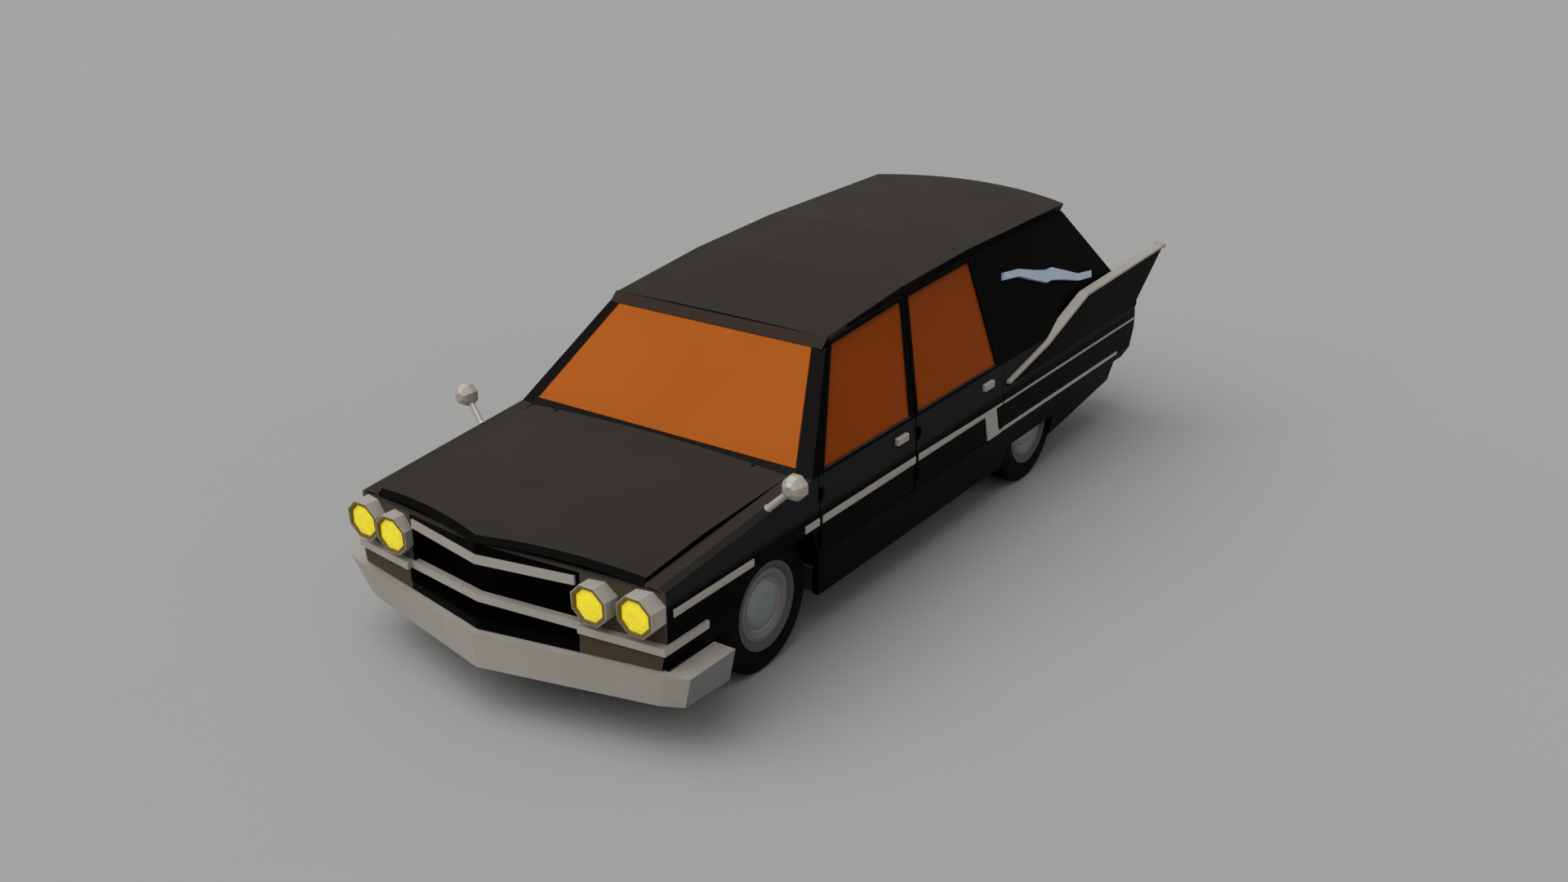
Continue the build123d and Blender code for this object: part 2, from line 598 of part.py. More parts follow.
# Doors: leaf with window opening and pull handle, and the pane in it
HANDLE_LENGTH, HANDLE_HEIGHT = 110, 40
HANDLE_Z = 945
DOORS = (
    (
        "front",
        [(DOOR_FRONT_X, BELT_Z), (DOOR_FRONT_X - 510, 1572)],
        [(SPLIT_LEAN[0][0] + SPLIT_GAP, BELT_Z), (between(*SPLIT_LEAN, 1611) + SPLIT_GAP, 1611)],
        [
            (DOOR_FRONT_X - 60, 1032),
            (DOOR_SPLIT_X + 42, 1032),
            (DOOR_SPLIT_X - 290, 1591),
            (DOOR_FRONT_X - 519, 1552),
        ],
        DOOR_SPLIT_X + 174,
        DOOR_FRONT_X,
    ),
    (
        "rear",
        [(SPLIT_LEAN[0][0] - SPLIT_GAP, BELT_Z), (between(*SPLIT_LEAN, 1614) - SPLIT_GAP, 1614)],
        [(DOOR_REAR_X, BELT_Z), (between(*REAR_LEAN, 1638), 1638)],
        [
            (DOOR_SPLIT_X - 41, 1032),
            (DOOR_REAR_X + 67, 1032),
            (DOOR_REAR_X - 57, 1618),
            (DOOR_SPLIT_X - 368, 1594),
        ],
        DOOR_REAR_X + 212,
        REAR_HINGE_X,
    ),
)
for name, fore, aft, window, handle_x, hinge_x in DOORS:
    outline = [
        (fore[0][0], CREASE_Z + DOOR_GAP / 2),
        fore[0],
        fore[1],
        (aft[1][0] - 200, aft[1][1] + 200 * (aft[1][1] - fore[1][1]) / (fore[1][0] - aft[1][0])),
        (aft[1][0] - 200, CREASE_Z + DOOR_GAP / 2),
    ]
    shear = [(x - DOOR_SHEAR * (BODY_HALF - skin_y(z)), z) for x, z in aft]
    low_x = aft[0][0] - DOOR_SHEAR * (BODY_HALF - skin_y(CREASE_Z))
    with BuildPart() as door:
        with BuildSketch(Plane.YZ.offset(aft[1][0] - 300)):
            Polygon(*wall(0, DOOR_WALL), align=None)
        extrude(amount=fore[0][0] - aft[1][0] + 400)
        with BuildSketch(Plane.XZ):
            Polygon(*outline, align=None)
        extrude(amount=-1200, mode=Mode.INTERSECT)
        with BuildSketch(Plane.XZ.offset(-BODY_HALF)):
            Polygon(
                (low_x, SILL_Z),
                (aft[0][0], SHOULDER_Z),
                shear[0],
                shear[1],
                (between(*shear, WALL_TOP_Z), WALL_TOP_Z),
                (low_x - 900, WALL_TOP_Z),
                (low_x - 900, SILL_Z),
                align=None,
            )
        extrude(amount=600, dir=(DOOR_SHEAR, -1, 0), mode=Mode.SUBTRACT)
        with BuildSketch(Plane.XZ.offset(-500)):
            Polygon(*window, align=None)
        extrude(amount=-700, mode=Mode.SUBTRACT)
        with Locations((handle_x, skin_y(HANDLE_Z) + 8, HANDLE_Z)):
            Box(HANDLE_LENGTH, 30, HANDLE_HEIGHT)
        for z in HINGE_LEVELS:
            with Locations((hinge_x, HINGE_Y, z + 12)):
                Cylinder(EAR_RADIUS, 40)
            with Locations((hinge_x - 14, HINGE_Y - 12, z + 12)):
                Box(24, 24, 40)
            with Locations((hinge_x, HINGE_Y, z)):
                Cylinder(PIN_RADIUS + SLIP, 200, mode=Mode.SUBTRACT)
            with Locations((hinge_x, HINGE_Y, z - 25)):
                Cylinder(EAR_RADIUS + 4, 34, mode=Mode.SUBTRACT)
    save_pair(door, f"door_{name}")
    with BuildPart() as glass:
        with BuildSketch(Plane.YZ.offset(aft[1][0] - 300)):
            Polygon(*wall(18, 26, BELT_Z), align=None)
        extrude(amount=fore[0][0] - aft[1][0] + 400)
        with BuildSketch(Plane.XZ.offset(-500)):
            Polygon(*window, align=None)
        extrude(amount=-700, mode=Mode.INTERSECT)
    save_pair(glass, f"glass_{name}")

# Front fenders: thin skins with a ledge beside the hood and the trapezoid wheel arch
FENDER_REAR_X = DOOR_FRONT_X + 10
FENDER_FRONT_Z = 896
FENDER_REAR_Z = 1022
FENDER_LEDGE = 131
LEDGE_Y = BODY_HALF - FENDER_LEDGE
LEDGE_EDGE_Y = BODY_HALF - 50
FLANGE_Z = 860
NOSE_LOW_Z = 490


def shoulder_y(z):
    """Half width of the shoulder face, carried on upwards."""
    return BODY_HALF - (BODY_HALF - BELT_Y) * (z - SHOULDER_Z) / (BELT_Z - SHOULDER_Z)


with BuildPart() as fender:
    for x, top in ((FENDER_REAR_X, FENDER_REAR_Z), (CORNER_X, FENDER_FRONT_Z)):
        with BuildSketch(Plane.YZ.offset(x)):
            Polygon(
                (SILL_Y, SILL_Z),
                (CREASE_Y, CREASE_Z),
                (BODY_HALF, SHOULDER_Z),
                (shoulder_y(top), top),
                (LEDGE_EDGE_Y, top + 18),
                (LEDGE_Y, top + 18),
                (LEDGE_Y, FLANGE_Z),
                (LEDGE_Y + SKIN, FLANGE_Z),
                (LEDGE_Y + SKIN, top + 6),
                (LEDGE_EDGE_Y - 4, top + 6),
                (shoulder_y(top) - SKIN, top - 6),
                (BODY_HALF - SKIN, SHOULDER_Z),
                (CREASE_Y - SKIN, CREASE_Z),
                (SILL_Y - SKIN, SILL_Z),
                align=None,
            )
    loft(ruled=True)
    with BuildSketch(Plane.XZ.offset(-850)):
        Polygon(
            (FRONT_AXLE_X - 900, CREASE_Z),
            (FRONT_AXLE_X - 359, CREASE_Z),
            (FRONT_AXLE_X - 290, ARCH_TOP_Z),
            (FRONT_AXLE_X + 290, ARCH_TOP_Z),
            (FRONT_AXLE_X + 395, NOSE_LOW_Z - 28),
            (FRONT_AXLE_X + 1300, NOSE_LOW_Z - 28),
            (FRONT_AXLE_X + 1300, 100),
            (FRONT_AXLE_X - 900, 100),
            align=None,
        )
    extrude(amount=-400, mode=Mode.SUBTRACT)
    with BuildSketch(Plane.YZ.offset(FENDER_REAR_X - 100)):
        Polygon(
            (800, 700),
            (skin_y(700) - SKIN, 700),
            (BODY_HALF - SKIN, SHOULDER_Z),
            (shoulder_y(BELT_Z) - SKIN, BELT_Z),
            (shoulder_y(BELT_Z) + 60, BELT_Z),
            (shoulder_y(BELT_Z) + 60, 1200),
            (800, 1200),
            align=None,
        )
    extrude(amount=COWL_X + 1 - FENDER_REAR_X + 100, mode=Mode.SUBTRACT)
    for z in HINGE_LEVELS:
        with Locations((DOOR_FRONT_X, HINGE_Y, z)):
            Cylinder(EAR_RADIUS + 6, 90, mode=Mode.SUBTRACT)
save_pair(fender, "fender")

# Inner aprons: wheel-house sides and tops along the engine bay
APRON_Y = 530
with BuildPart() as aprons:
    with BuildSketch(Plane.YZ.offset(POST_FRONT_X)):
        Polygon(
            (APRON_Y, FLOOR_Z + 60),
            (APRON_Y, FLANGE_Z),
            (LEDGE_Y + SKIN, FLANGE_Z),
            (LEDGE_Y + SKIN, FLANGE_Z - SKIN),
            (APRON_Y + SKIN, FLANGE_Z - SKIN),
            (APRON_Y + SKIN, FLOOR_Z + 60),
            align=None,
        )
    extrude(amount=CORNER_X - 60 - POST_FRONT_X)
    with Locations((FRONT_AXLE_X + 560, (RAIL_Y + APRON_Y + SKIN) / 2, FLOOR_Z + 36)):
        Box(500, APRON_Y + SKIN - RAIL_Y, 72)
    with Locations((FRONT_AXLE_X, APRON_Y, TYRE_RADIUS + ARM_DROP)):
        Box(220, 100, 130, mode=Mode.SUBTRACT)
    mirror(about=Plane.XZ)
save(aprons, "aprons")

# Nose: swept front wall with the grille box, lamp plates, pods and valance
NOSE_SWEEP = 0.197
NOSE_WALL = 40
GRILLE_HALF = 570
GRILLE_LOW_Z, GRILLE_HIGH_Z = 538, 846
POD_Y = 583
POD_OUT = 26
POD_TOP_Z = 606
BAR_DROOP = 0.054


def nose_band(front, back, half):
    """Swept band in plan between two depths ahead of the nose line."""
    near = NOSE_X - NOSE_SWEEP * half
    return [
        (near + front, -half),
        (NOSE_X + front, 0),
        (near + front, half),
        (near + back, half),
        (NOSE_X + back, 0),
        (near + back, -half),
    ]


with BuildPart() as nose:
    with BuildSketch(Plane.XY.offset(NOSE_LOW_Z + 10)):
        Polygon(*nose_band(-NOSE_WALL, -NOSE_WALL - 90, GRILLE_HALF + 25), align=None)
    extrude(amount=GRILLE_HIGH_Z + 24 - NOSE_LOW_Z - 10)
    with BuildSketch(Plane.XY.offset(NOSE_LOW_Z)):
        Polygon(*nose_band(POD_OUT, 0, BODY_HALF), align=None)
    extrude(amount=POD_TOP_Z + 60 - NOSE_LOW_Z)
    with BuildSketch(Plane.XY.offset(GRILLE_LOW_Z)):
        Polygon(*nose_band(60, 0, POD_Y), align=None)
    extrude(amount=GRILLE_HIGH_Z - GRILLE_LOW_Z, mode=Mode.SUBTRACT)
    for side in (1, -1):
        with BuildSketch(Plane.YZ.offset(NOSE_X - 600)):
            Polygon(
                (side * POD_Y, 635 - BAR_DROOP * POD_Y),
                (side * 1100, 635 - BAR_DROOP * 1100),
                (side * 1100, POD_TOP_Z + 100),
                (side * POD_Y, POD_TOP_Z + 100),
                align=None,
            )
        extrude(amount=900, mode=Mode.SUBTRACT)
    with BuildSketch(Plane.XY.offset(NOSE_LOW_Z)):
        Polygon(*nose_band(0, -NOSE_WALL, BODY_HALF), align=None)
    extrude(amount=500)
    with BuildSketch(Plane.XY.offset(GRILLE_LOW_Z)):
        Polygon(*nose_band(60, -NOSE_WALL - 70, GRILLE_HALF), align=None)
    extrude(amount=GRILLE_HIGH_Z - GRILLE_LOW_Z, mode=Mode.SUBTRACT)
    for side in (1, -1):
        with BuildSketch(Plane.YZ.offset(NOSE_X - 600)):
            Polygon(
                (0, 956),
                (side * 905, 892),
                (side * 1100, 888),
                (side * 1100, 1100),
                (0, 1100),
                align=None,
            )
        extrude(amount=900, mode=Mode.SUBTRACT)
    with BuildSketch(Plane.YZ.offset(NOSE_X - 600)):
        Polygon(*core(0), *[(-y, z) for y, z in core(0)[::-1]], align=None)
    extrude(amount=900, mode=Mode.INTERSECT)
    add(fender.part, mode=Mode.SUBTRACT)
    add(mirror(fender.part, about=Plane.XZ), mode=Mode.SUBTRACT)
save(nose, "nose")

# Grille bars: upper bar, and the lower bar that runs out over the pods and round the corners
BAR_HEIGHT = 43
BAR_Z = 635
WRAP_X = CORNER_X - 310
with BuildPart() as grille_bars:
    with BuildSketch(Plane.XY.offset(BAR_Z - 120)):
        Polygon(*nose_band(10, -30, GRILLE_HALF), align=None)
        for side in (1, -1):
            Polygon(
                (NOSE_X - NOSE_SWEEP * POD_Y, side * POD_Y),
                (NOSE_X - NOSE_SWEEP * POD_Y + 42, side * POD_Y),
                (NOSE_X - NOSE_SWEEP * 1052 + 42, side * 1052),
                (WRAP_X, side * 1052),
                (WRAP_X, side * 1020),
                (NOSE_X - NOSE_SWEEP * 1020, side * 1020),
                align=None,
            )
            Polygon(
                (NOSE_X - NOSE_SWEEP * (GRILLE_HALF - 6), side * (GRILLE_HALF - 6)),
                (NOSE_X - NOSE_SWEEP * (GRILLE_HALF - 6) + 10, side * (GRILLE_HALF - 6)),
                (NOSE_X - NOSE_SWEEP * (POD_Y + 6) + 10, side * (POD_Y + 6)),
                (NOSE_X - NOSE_SWEEP * (POD_Y + 6), side * (POD_Y + 6)),
                align=None,
            )
    extrude(amount=240)
    with BuildSketch(Plane.YZ.offset(NOSE_X - 900)):
        Polygon(
            (0, BAR_Z),
            (1100, BAR_Z - BAR_DROOP * 1100),
            (1100, BAR_Z + BAR_HEIGHT - BAR_DROOP * 1100),
            (0, BAR_Z + BAR_HEIGHT),
            (-1100, BAR_Z + BAR_HEIGHT - BAR_DROOP * 1100),
            (-1100, BAR_Z - BAR_DROOP * 1100),
            align=None,
        )
    extrude(amount=1200, mode=Mode.INTERSECT)
    with BuildSketch(Plane.YZ.offset(WRAP_X - 100)):
        Polygon(*core(0), *[(-y, z) for y, z in core(0)[::-1]], align=None)
    extrude(amount=CORNER_X - WRAP_X + 100, mode=Mode.SUBTRACT)
    with BuildSketch(Plane.XY.offset(GRILLE_HIGH_Z)):
        Polygon(*nose_band(12, 0, GRILLE_HALF - 14), align=None)
    extrude(amount=48)
    add(nose.part, mode=Mode.SUBTRACT)
save(grille_bars, "grille_bars")

# Headlamps: four octagonal bezels with sunk lenses
LAMP_Z = 786
LAMP_RADIUS = 117
LENS_RADIUS = 98
LAMPS = ((675, NOSE_X - 51), (927, NOSE_X - 88))
with BuildPart() as headlamp_bezels:
    for y, rim_x in LAMPS:
        with BuildSketch(Plane.YZ.offset(rim_x)):
            with Locations((y, LAMP_Z)):
                RegularPolygon(LAMP_RADIUS, 8, rotation=22.5)
        extrude(amount=-150)
        with BuildSketch(Plane.YZ.offset(rim_x)):
            with Locations((y, LAMP_Z)):
                RegularPolygon(LENS_RADIUS, 8, rotation=22.5)
        extrude(amount=-44, mode=Mode.SUBTRACT)
        with BuildSketch(Plane.XZ.offset(-y - 200)):
            Polygon(
                (rim_x + 1, LAMP_Z + LAMP_RADIUS),
                (rim_x + 60, LAMP_Z + LAMP_RADIUS),
                (rim_x + 60, LAMP_Z - LAMP_RADIUS),
                (rim_x - 16, LAMP_Z - LAMP_RADIUS),
                align=None,
            )
        extrude(amount=400, mode=Mode.SUBTRACT)
    mirror(about=Plane.XZ)
    add(nose.part, mode=Mode.SUBTRACT)
    with BuildSketch(Plane.XY.offset(LAMP_Z - 200)):
        Polygon(*nose_band(0, -400, BODY_HALF), align=None)
    extrude(amount=400, mode=Mode.SUBTRACT)
save(headlamp_bezels, "headlamp_bezels")

with BuildPart() as headlamp_lenses:
    for y, rim_x in LAMPS:
        with BuildSketch(Plane.YZ.offset(rim_x - 20)):
            with Locations((y, LAMP_Z)):
                RegularPolygon(LENS_RADIUS, 8, rotation=22.5)
        extrude(amount=-24)
    mirror(about=Plane.XZ)
save(headlamp_lenses, "headlamp_lenses")

# Hood: crowned panel with a swept, leaning front lip
HOOD_HALF = LEDGE_Y - DOOR_GAP
HOOD_SHEET = 30
HOOD_REAR_X = COWL_X + 6
HOOD_LINE = (
    (HOOD_REAR_X, 1027, 32),
    (FRONT_AXLE_X + 482, 986, 60),
    (FRONT_AXLE_X + 1166, 906, 86),
)
HOOD_SWEEP = 0.287
HOOD_TIP_X = NOSE_X + 11
LIP_LEAN = 0.8
with BuildPart() as hood:
    for x, edge, crown in HOOD_LINE:
        with BuildSketch(Plane.YZ.offset(x)):
            with BuildLine():
                ThreePointArc((-HOOD_HALF, edge), (0, edge + crown), (HOOD_HALF, edge))
                Line((HOOD_HALF, edge), (HOOD_HALF, edge - HOOD_SHEET))
                ThreePointArc(
                    (HOOD_HALF, edge - HOOD_SHEET),
                    (0, edge + crown - HOOD_SHEET),
                    (-HOOD_HALF, edge - HOOD_SHEET),
                )
                Line((-HOOD_HALF, edge - HOOD_SHEET), (-HOOD_HALF, edge))
            make_face()
    loft(ruled=True)
    lip_x = HOOD_TIP_X + LIP_LEAN * 163
    with BuildSketch(Plane.XY.offset(800)):
        Polygon(
            (lip_x, 0),
            (lip_x - HOOD_SWEEP * 1100, 1100),
            (lip_x + 900, 1100),
            (lip_x + 900, -1100),
            (lip_x - HOOD_SWEEP * 1100, -1100),
            align=None,
        )
    extrude(amount=700, dir=(-LIP_LEAN, 0, 1), mode=Mode.SUBTRACT)
    for side in (1, -1):
        for y in HOOD_HINGES:
            with Locations((HOOD_REAR_X, side * y, HOOD_PIN_Z)):
                Box(2 * (HOOD_PIN_X + 18 - HOOD_REAR_X), 42, 120, mode=Mode.SUBTRACT)
            with BuildSketch(Plane.XZ.offset(-side * y - 60)):
                with Locations((HOOD_PIN_X, HOOD_PIN_Z)):
                    Circle(PIN_RADIUS + SLIP)
            extrude(amount=120, mode=Mode.SUBTRACT)
save(hood, "hood")

# Bumpers: swept blades with wrapped ends, hollow behind, and pads to the frame rails
BUMPER_LOW_Z, BUMPER_HIGH_Z = 281, 486
BUMPER_X = OVERALL_LENGTH / 2
BUMPER_SKIN = 16


blade_top = [
    (BUMPER_X, 0),
    (BUMPER_X - 215, 1045),
    (BUMPER_X - 264, 1180),
    (BUMPER_X - 620, 1183),
    (BUMPER_X - 620, 1052),
    (BUMPER_X - 266, 1052),
    (BUMPER_X - 42, 0),
]
blade_low = [
    (BUMPER_X - 15, 0),
    (BUMPER_X - 252, 992),
    (BUMPER_X - 310, 1107),
    (BUMPER_X - 640, 1128),
    (BUMPER_X - 640, 1052),
    (BUMPER_X - 350, 1040),
    (BUMPER_X - 95, 0),
]


def ring(points):
    """Both halves of a blade outline as one closed line."""
    return points + [(x, -y) for x, y in points[-2:0:-1]]


def hollowed(points):
    """The same outline drawn in by the blade's thickness and open behind."""
    return [
        (points[0][0] - BUMPER_SKIN, 0),
        (points[1][0] - BUMPER_SKIN, points[1][1] - 8),
        (points[2][0] - 12, points[2][1] - BUMPER_SKIN),
        (points[3][0] + BUMPER_SKIN, points[3][1] - BUMPER_SKIN),
        (points[4][0] + BUMPER_SKIN, points[4][1] - 60),
        (points[5][0] - 60, points[5][1] - 60),
        (points[6][0] - 120, 0),
    ]


with BuildPart() as bumper_front:
    with BuildSketch(Plane.XY.offset(BUMPER_HIGH_Z)):
        Polygon(*ring(blade_top), align=None)
    with BuildSketch(Plane.XY.offset(BUMPER_LOW_Z)):
        Polygon(*ring(blade_low), align=None)
    loft(ruled=True)
    with BuildSketch(Plane.XY.offset(BUMPER_HIGH_Z - BUMPER_SKIN)):
        Polygon(*ring(hollowed(blade_top)), align=None)
    with BuildSketch(Plane.XY.offset(BUMPER_LOW_Z - 1)):
        Polygon(*ring(hollowed(blade_low)), align=None)
    loft(ruled=True, mode=Mode.SUBTRACT)
    for side in (1, -1):
        with Locations(((RAIL_FRONT_X + BUMPER_X - 118) / 2, side * RAIL_Y, FLOOR_Z - RAIL_HEIGHT / 2)):
            Box(BUMPER_X - 118 - RAIL_FRONT_X, RAIL_WIDTH, RAIL_HEIGHT - 10)
save(bumper_front, "bumper_front")

REAR_BLADE_X = TAIL_X - 130
REAR_BLADE_HALF = 835
REAR_BLADE_HEIGHT = 140
rear_top = [
    (REAR_BLADE_X, 0),
    (REAR_BLADE_X + 95, REAR_BLADE_HALF - 65),
    (REAR_BLADE_X + 150, REAR_BLADE_HALF),
    (REAR_BLADE_X + 175, REAR_BLADE_HALF),
    (REAR_BLADE_X + 175, REAR_BLADE_HALF - 15),
    (REAR_BLADE_X + 125, REAR_BLADE_HALF - 85),
    (REAR_BLADE_X + 42, 0),
]
with BuildPart() as bumper_rear:
    with BuildSketch(Plane.XY.offset(FLOOR_Z)):
        Polygon(*ring(rear_top), align=None)
    extrude(amount=REAR_BLADE_HEIGHT)
    for side in (1, -1):
        with Locations(((RAIL_REAR_X + REAR_BLADE_X + 60) / 2, side * RAIL_Y, FLOOR_Z + 40)):
            Box(RAIL_REAR_X - REAR_BLADE_X - 60, RAIL_WIDTH, 80)
save(bumper_rear, "bumper_rear")

# Fins: blades that rise from the shoulder to the tips, with caps along their tops
FIN_IN_Y, FIN_OUT_Y = 998, 1046
CAP_IN_Y, CAP_OUT_Y = 992, 1062
CAP_HEIGHT = 16
TIP_LENGTH = 30
fin_top = [
    (DOOR_REAR_X - 46, 880),
    (DOOR_REAR_X - 582, 986),
    (DOOR_REAR_X - 1147, 1172),
    (FIN_TIP_X, 1207),
]
TIP_Z = fin_top[-1][1] + CAP_HEIGHT / 2
fin_low = [(TAIL_X + 8, 905), (TAIL_X + 8, 862), (DOOR_REAR_X - 46, 862)]
with BuildPart() as fins:
    with BuildSketch(Plane.XZ.offset(-FIN_OUT_Y)):
        Polygon(*fin_top, *fin_low, align=None)
    extrude(amount=FIN_OUT_Y - FIN_IN_Y)
    with BuildSketch(Plane.YZ.offset(FIN_TIP_X - 20)):
        Polygon(*core(0), align=None)
    extrude(amount=DOOR_REAR_X - FIN_TIP_X + 20, mode=Mode.SUBTRACT)
    mirror(about=Plane.XZ)
save(fins, "fins")

with BuildPart() as fin_caps:
    with BuildSketch(Plane.XZ.offset(-CAP_OUT_Y)):
        Polygon(*fin_top, *[(x, z + CAP_HEIGHT) for x, z in fin_top[::-1]], align=None)
    extrude(amount=CAP_OUT_Y - CAP_IN_Y)
    with Locations((FIN_TIP_X + TIP_LENGTH / 2, (CAP_IN_Y + CAP_OUT_Y) / 2, TIP_Z)):
        Box(TIP_LENGTH, CAP_OUT_Y - CAP_IN_Y + 8, CAP_HEIGHT + 12)
    add(fins.part, mode=Mode.SUBTRACT)
    with BuildSketch(Plane.YZ.offset(FIN_TIP_X - 20)):
        Polygon(*core(0), align=None)
    extrude(amount=DOOR_REAR_X - FIN_TIP_X + 20, mode=Mode.SUBTRACT)
    mirror(about=Plane.XZ)
save(fin_caps, "fin_caps")

# Raked tail: bowed rear wall, split into the fixed surround and the lifting loading door
GATE_TOP_HALF, GATE_TOP_Z = 560, 1664
GATE_HALF = 800
GATE_LOW_Z = 650
GATE_RISE = 20
WINDOW_FOOT_HALF, WINDOW_HEAD_HALF = 690, 500
TAIL_LOW_Z = FLOOR_Z + 80


def tail_band(plane, front, back):
    """Sketch of the bowed wall in plan between two depths."""
    with BuildSketch(plane) as bow:
        with BuildLine():
            ThreePointArc(
                (TAIL_CORNER_X + back, ROOF_HALF),
                (TAIL_CORNER_X + back - TAIL_BOW, 0),
                (TAIL_CORNER_X + back, -ROOF_HALF),
            )
            Polyline(
                (TAIL_CORNER_X + back, -ROOF_HALF),
                (TAIL_CORNER_X + back, -BODY_HALF),
                (TAIL_CORNER_X + front, -BODY_HALF),
                (TAIL_CORNER_X + front, -ROOF_HALF),
            )
            ThreePointArc(
                (TAIL_CORNER_X + front, -ROOF_HALF),
                (TAIL_CORNER_X + front - TAIL_BOW, 0),
                (TAIL_CORNER_X + front, ROOF_HALF),
            )
            Polyline(
                (TAIL_CORNER_X + front, ROOF_HALF),
                (TAIL_CORNER_X + front, BODY_HALF),
                (TAIL_CORNER_X + back, BODY_HALF),
                (TAIL_CORNER_X + back, ROOF_HALF),
            )
        make_face()
    return bow.sketch


def gate_line(grow):
    """Outline of the loading door seen from behind, grown by a gap."""
    with BuildSketch(Plane.YZ.offset(TAIL_X - 400)) as line:
        with BuildLine():
            ThreePointArc(
                (-GATE_TOP_HALF - grow, GATE_TOP_Z),
                (0, GATE_TOP_Z + GATE_RISE),
                (GATE_TOP_HALF + grow, GATE_TOP_Z),
            )
            Polyline(
                (GATE_TOP_HALF + grow, GATE_TOP_Z),
                (GATE_HALF + grow, BELT_Z),
                (GATE_HALF + grow, GATE_LOW_Z - grow),
                (-GATE_HALF - grow, GATE_LOW_Z - grow),
                (-GATE_HALF - grow, BELT_Z),
                (-GATE_TOP_HALF - grow, GATE_TOP_Z),
            )
        make_face()
    return line.sketch


GATE_SHIFT = TAIL_RAKE * (TAIL_TOP_Z - BELT_Z)
with BuildPart() as rear_wall:
    add(tail_band(Plane.XY.offset(TAIL_TOP_Z), TAIL_WALL, 0))
    extrude(amount=(TAIL_TOP_Z - BELT_Z) * (1 + TAIL_RAKE**2) ** 0.5, dir=(-TAIL_RAKE, 0, -1))
    add(tail_band(Plane((-GATE_SHIFT, 0, BELT_Z)), TAIL_WALL, 0))
    extrude(amount=BELT_Z - TAIL_LOW_Z, dir=(0, 0, -1))

HORN_Y = 850
with BuildPart() as tail_surround:
    add(rear_wall.part)
    with BuildSketch(Plane.XY.offset(DECK_Z - 24)):
        with BuildLine():
            ThreePointArc(
                (TAIL_PANEL_X, ROOF_HALF),
                (TAIL_PANEL_X - TAIL_BOW, 0),
                (TAIL_PANEL_X, -ROOF_HALF),
            )
            Line((TAIL_PANEL_X, -ROOF_HALF), (TAIL_PANEL_X, ROOF_HALF))
        make_face()
    extrude(amount=24)
    add(gate_line(DOOR_GAP))
    extrude(amount=1400, dir=(1, 0, 0), mode=Mode.SUBTRACT)
    for side in (1, -1):
        with Locations(((TAIL_X + 15 + TAIL_PANEL_X - 20) / 2, side * (HORN_Y + BODY_HALF) / 2, 707)):
            Box(TAIL_PANEL_X - 20 - TAIL_X - 15, BODY_HALF - HORN_Y, 374)
    with BuildSketch(Plane.YZ.offset(TAIL_X - 400)):
        Polygon(*core(WALL), *[(-y, z) for y, z in core(WALL)[::-1]], align=None)
    extrude(amount=1400, mode=Mode.INTERSECT)
    add(roof.part, mode=Mode.SUBTRACT)
    with BuildSketch(Plane.XY.offset(GATE_TOP_Z - 14)):
        Rectangle(9000, 2 * GATE_TOP_HALF + 24)
    extrude(amount=200, mode=Mode.SUBTRACT)
save(tail_surround, "tail_surround")


def window_line():
    """Outline of the loading door's window seen from behind."""
    with BuildSketch(Plane.YZ.offset(TAIL_X - 400)) as line:
        Polygon(
            (-WINDOW_FOOT_HALF, BELT_Z + 50),
            (WINDOW_FOOT_HALF, BELT_Z + 50),
            (WINDOW_HEAD_HALF, 1600),
            (-WINDOW_HEAD_HALF, 1600),
            align=None,
        )
    return line.sketch


with BuildPart() as tailgate:
    add(rear_wall.part)
    add(gate_line(0))
    extrude(amount=1400, dir=(1, 0, 0), mode=Mode.INTERSECT)
    add(window_line())
    extrude(amount=1400, dir=(1, 0, 0), mode=Mode.SUBTRACT)
    with Locations((TAIL_CORNER_X - GATE_SHIFT - TAIL_BOW - 10, 0, 900)):
        Box(50, 150, 28)
    for side in (1, -1):
        for y in (GATE_HINGE_Y - 34, GATE_HINGE_Y + 34):
            with BuildSketch(Plane.XZ.offset(-side * y - 10)):
                with Locations((GATE_PIN_X, GATE_PIN_Z)):
                    Circle(EAR_RADIUS)
                Polygon(
                    (GATE_PIN_X - 12, GATE_PIN_Z),
                    (GATE_PIN_X - 8, GATE_PIN_Z - 40),
                    (GATE_PIN_X + 40, GATE_PIN_Z - 40),
                    (GATE_PIN_X + 30, GATE_PIN_Z - 18),
                    (GATE_PIN_X + 12, GATE_PIN_Z),
                    align=None,
                )
                with Locations((GATE_PIN_X, GATE_PIN_Z)):
                    Circle(PIN_RADIUS + SLIP, mode=Mode.SUBTRACT)
            extrude(amount=20)
save(tailgate, "tailgate")

with BuildPart() as glass_tailgate:
    add(tail_band(Plane.XY.offset(TAIL_TOP_Z), 26, 18))
    extrude(amount=(TAIL_TOP_Z - BELT_Z) * (1 + TAIL_RAKE**2) ** 0.5, dir=(-TAIL_RAKE, 0, -1))
    add(window_line())
    extrude(amount=1400, dir=(1, 0, 0), mode=Mode.INTERSECT)
save(glass_tailgate, "glass_tailgate")

# Tail lamps on the ends of the body sides
TAIL_LAMP_RADIUS = 50
with BuildPart() as tail_lamps:
    for z in (660, 785):
        with BuildSketch(Plane.YZ.offset(TAIL_X + 15)):
            with Locations((912, z)):
                Circle(TAIL_LAMP_RADIUS)
        extrude(amount=-34, taper=14)
    mirror(about=Plane.XZ)
save(tail_lamps, "tail_lamps")

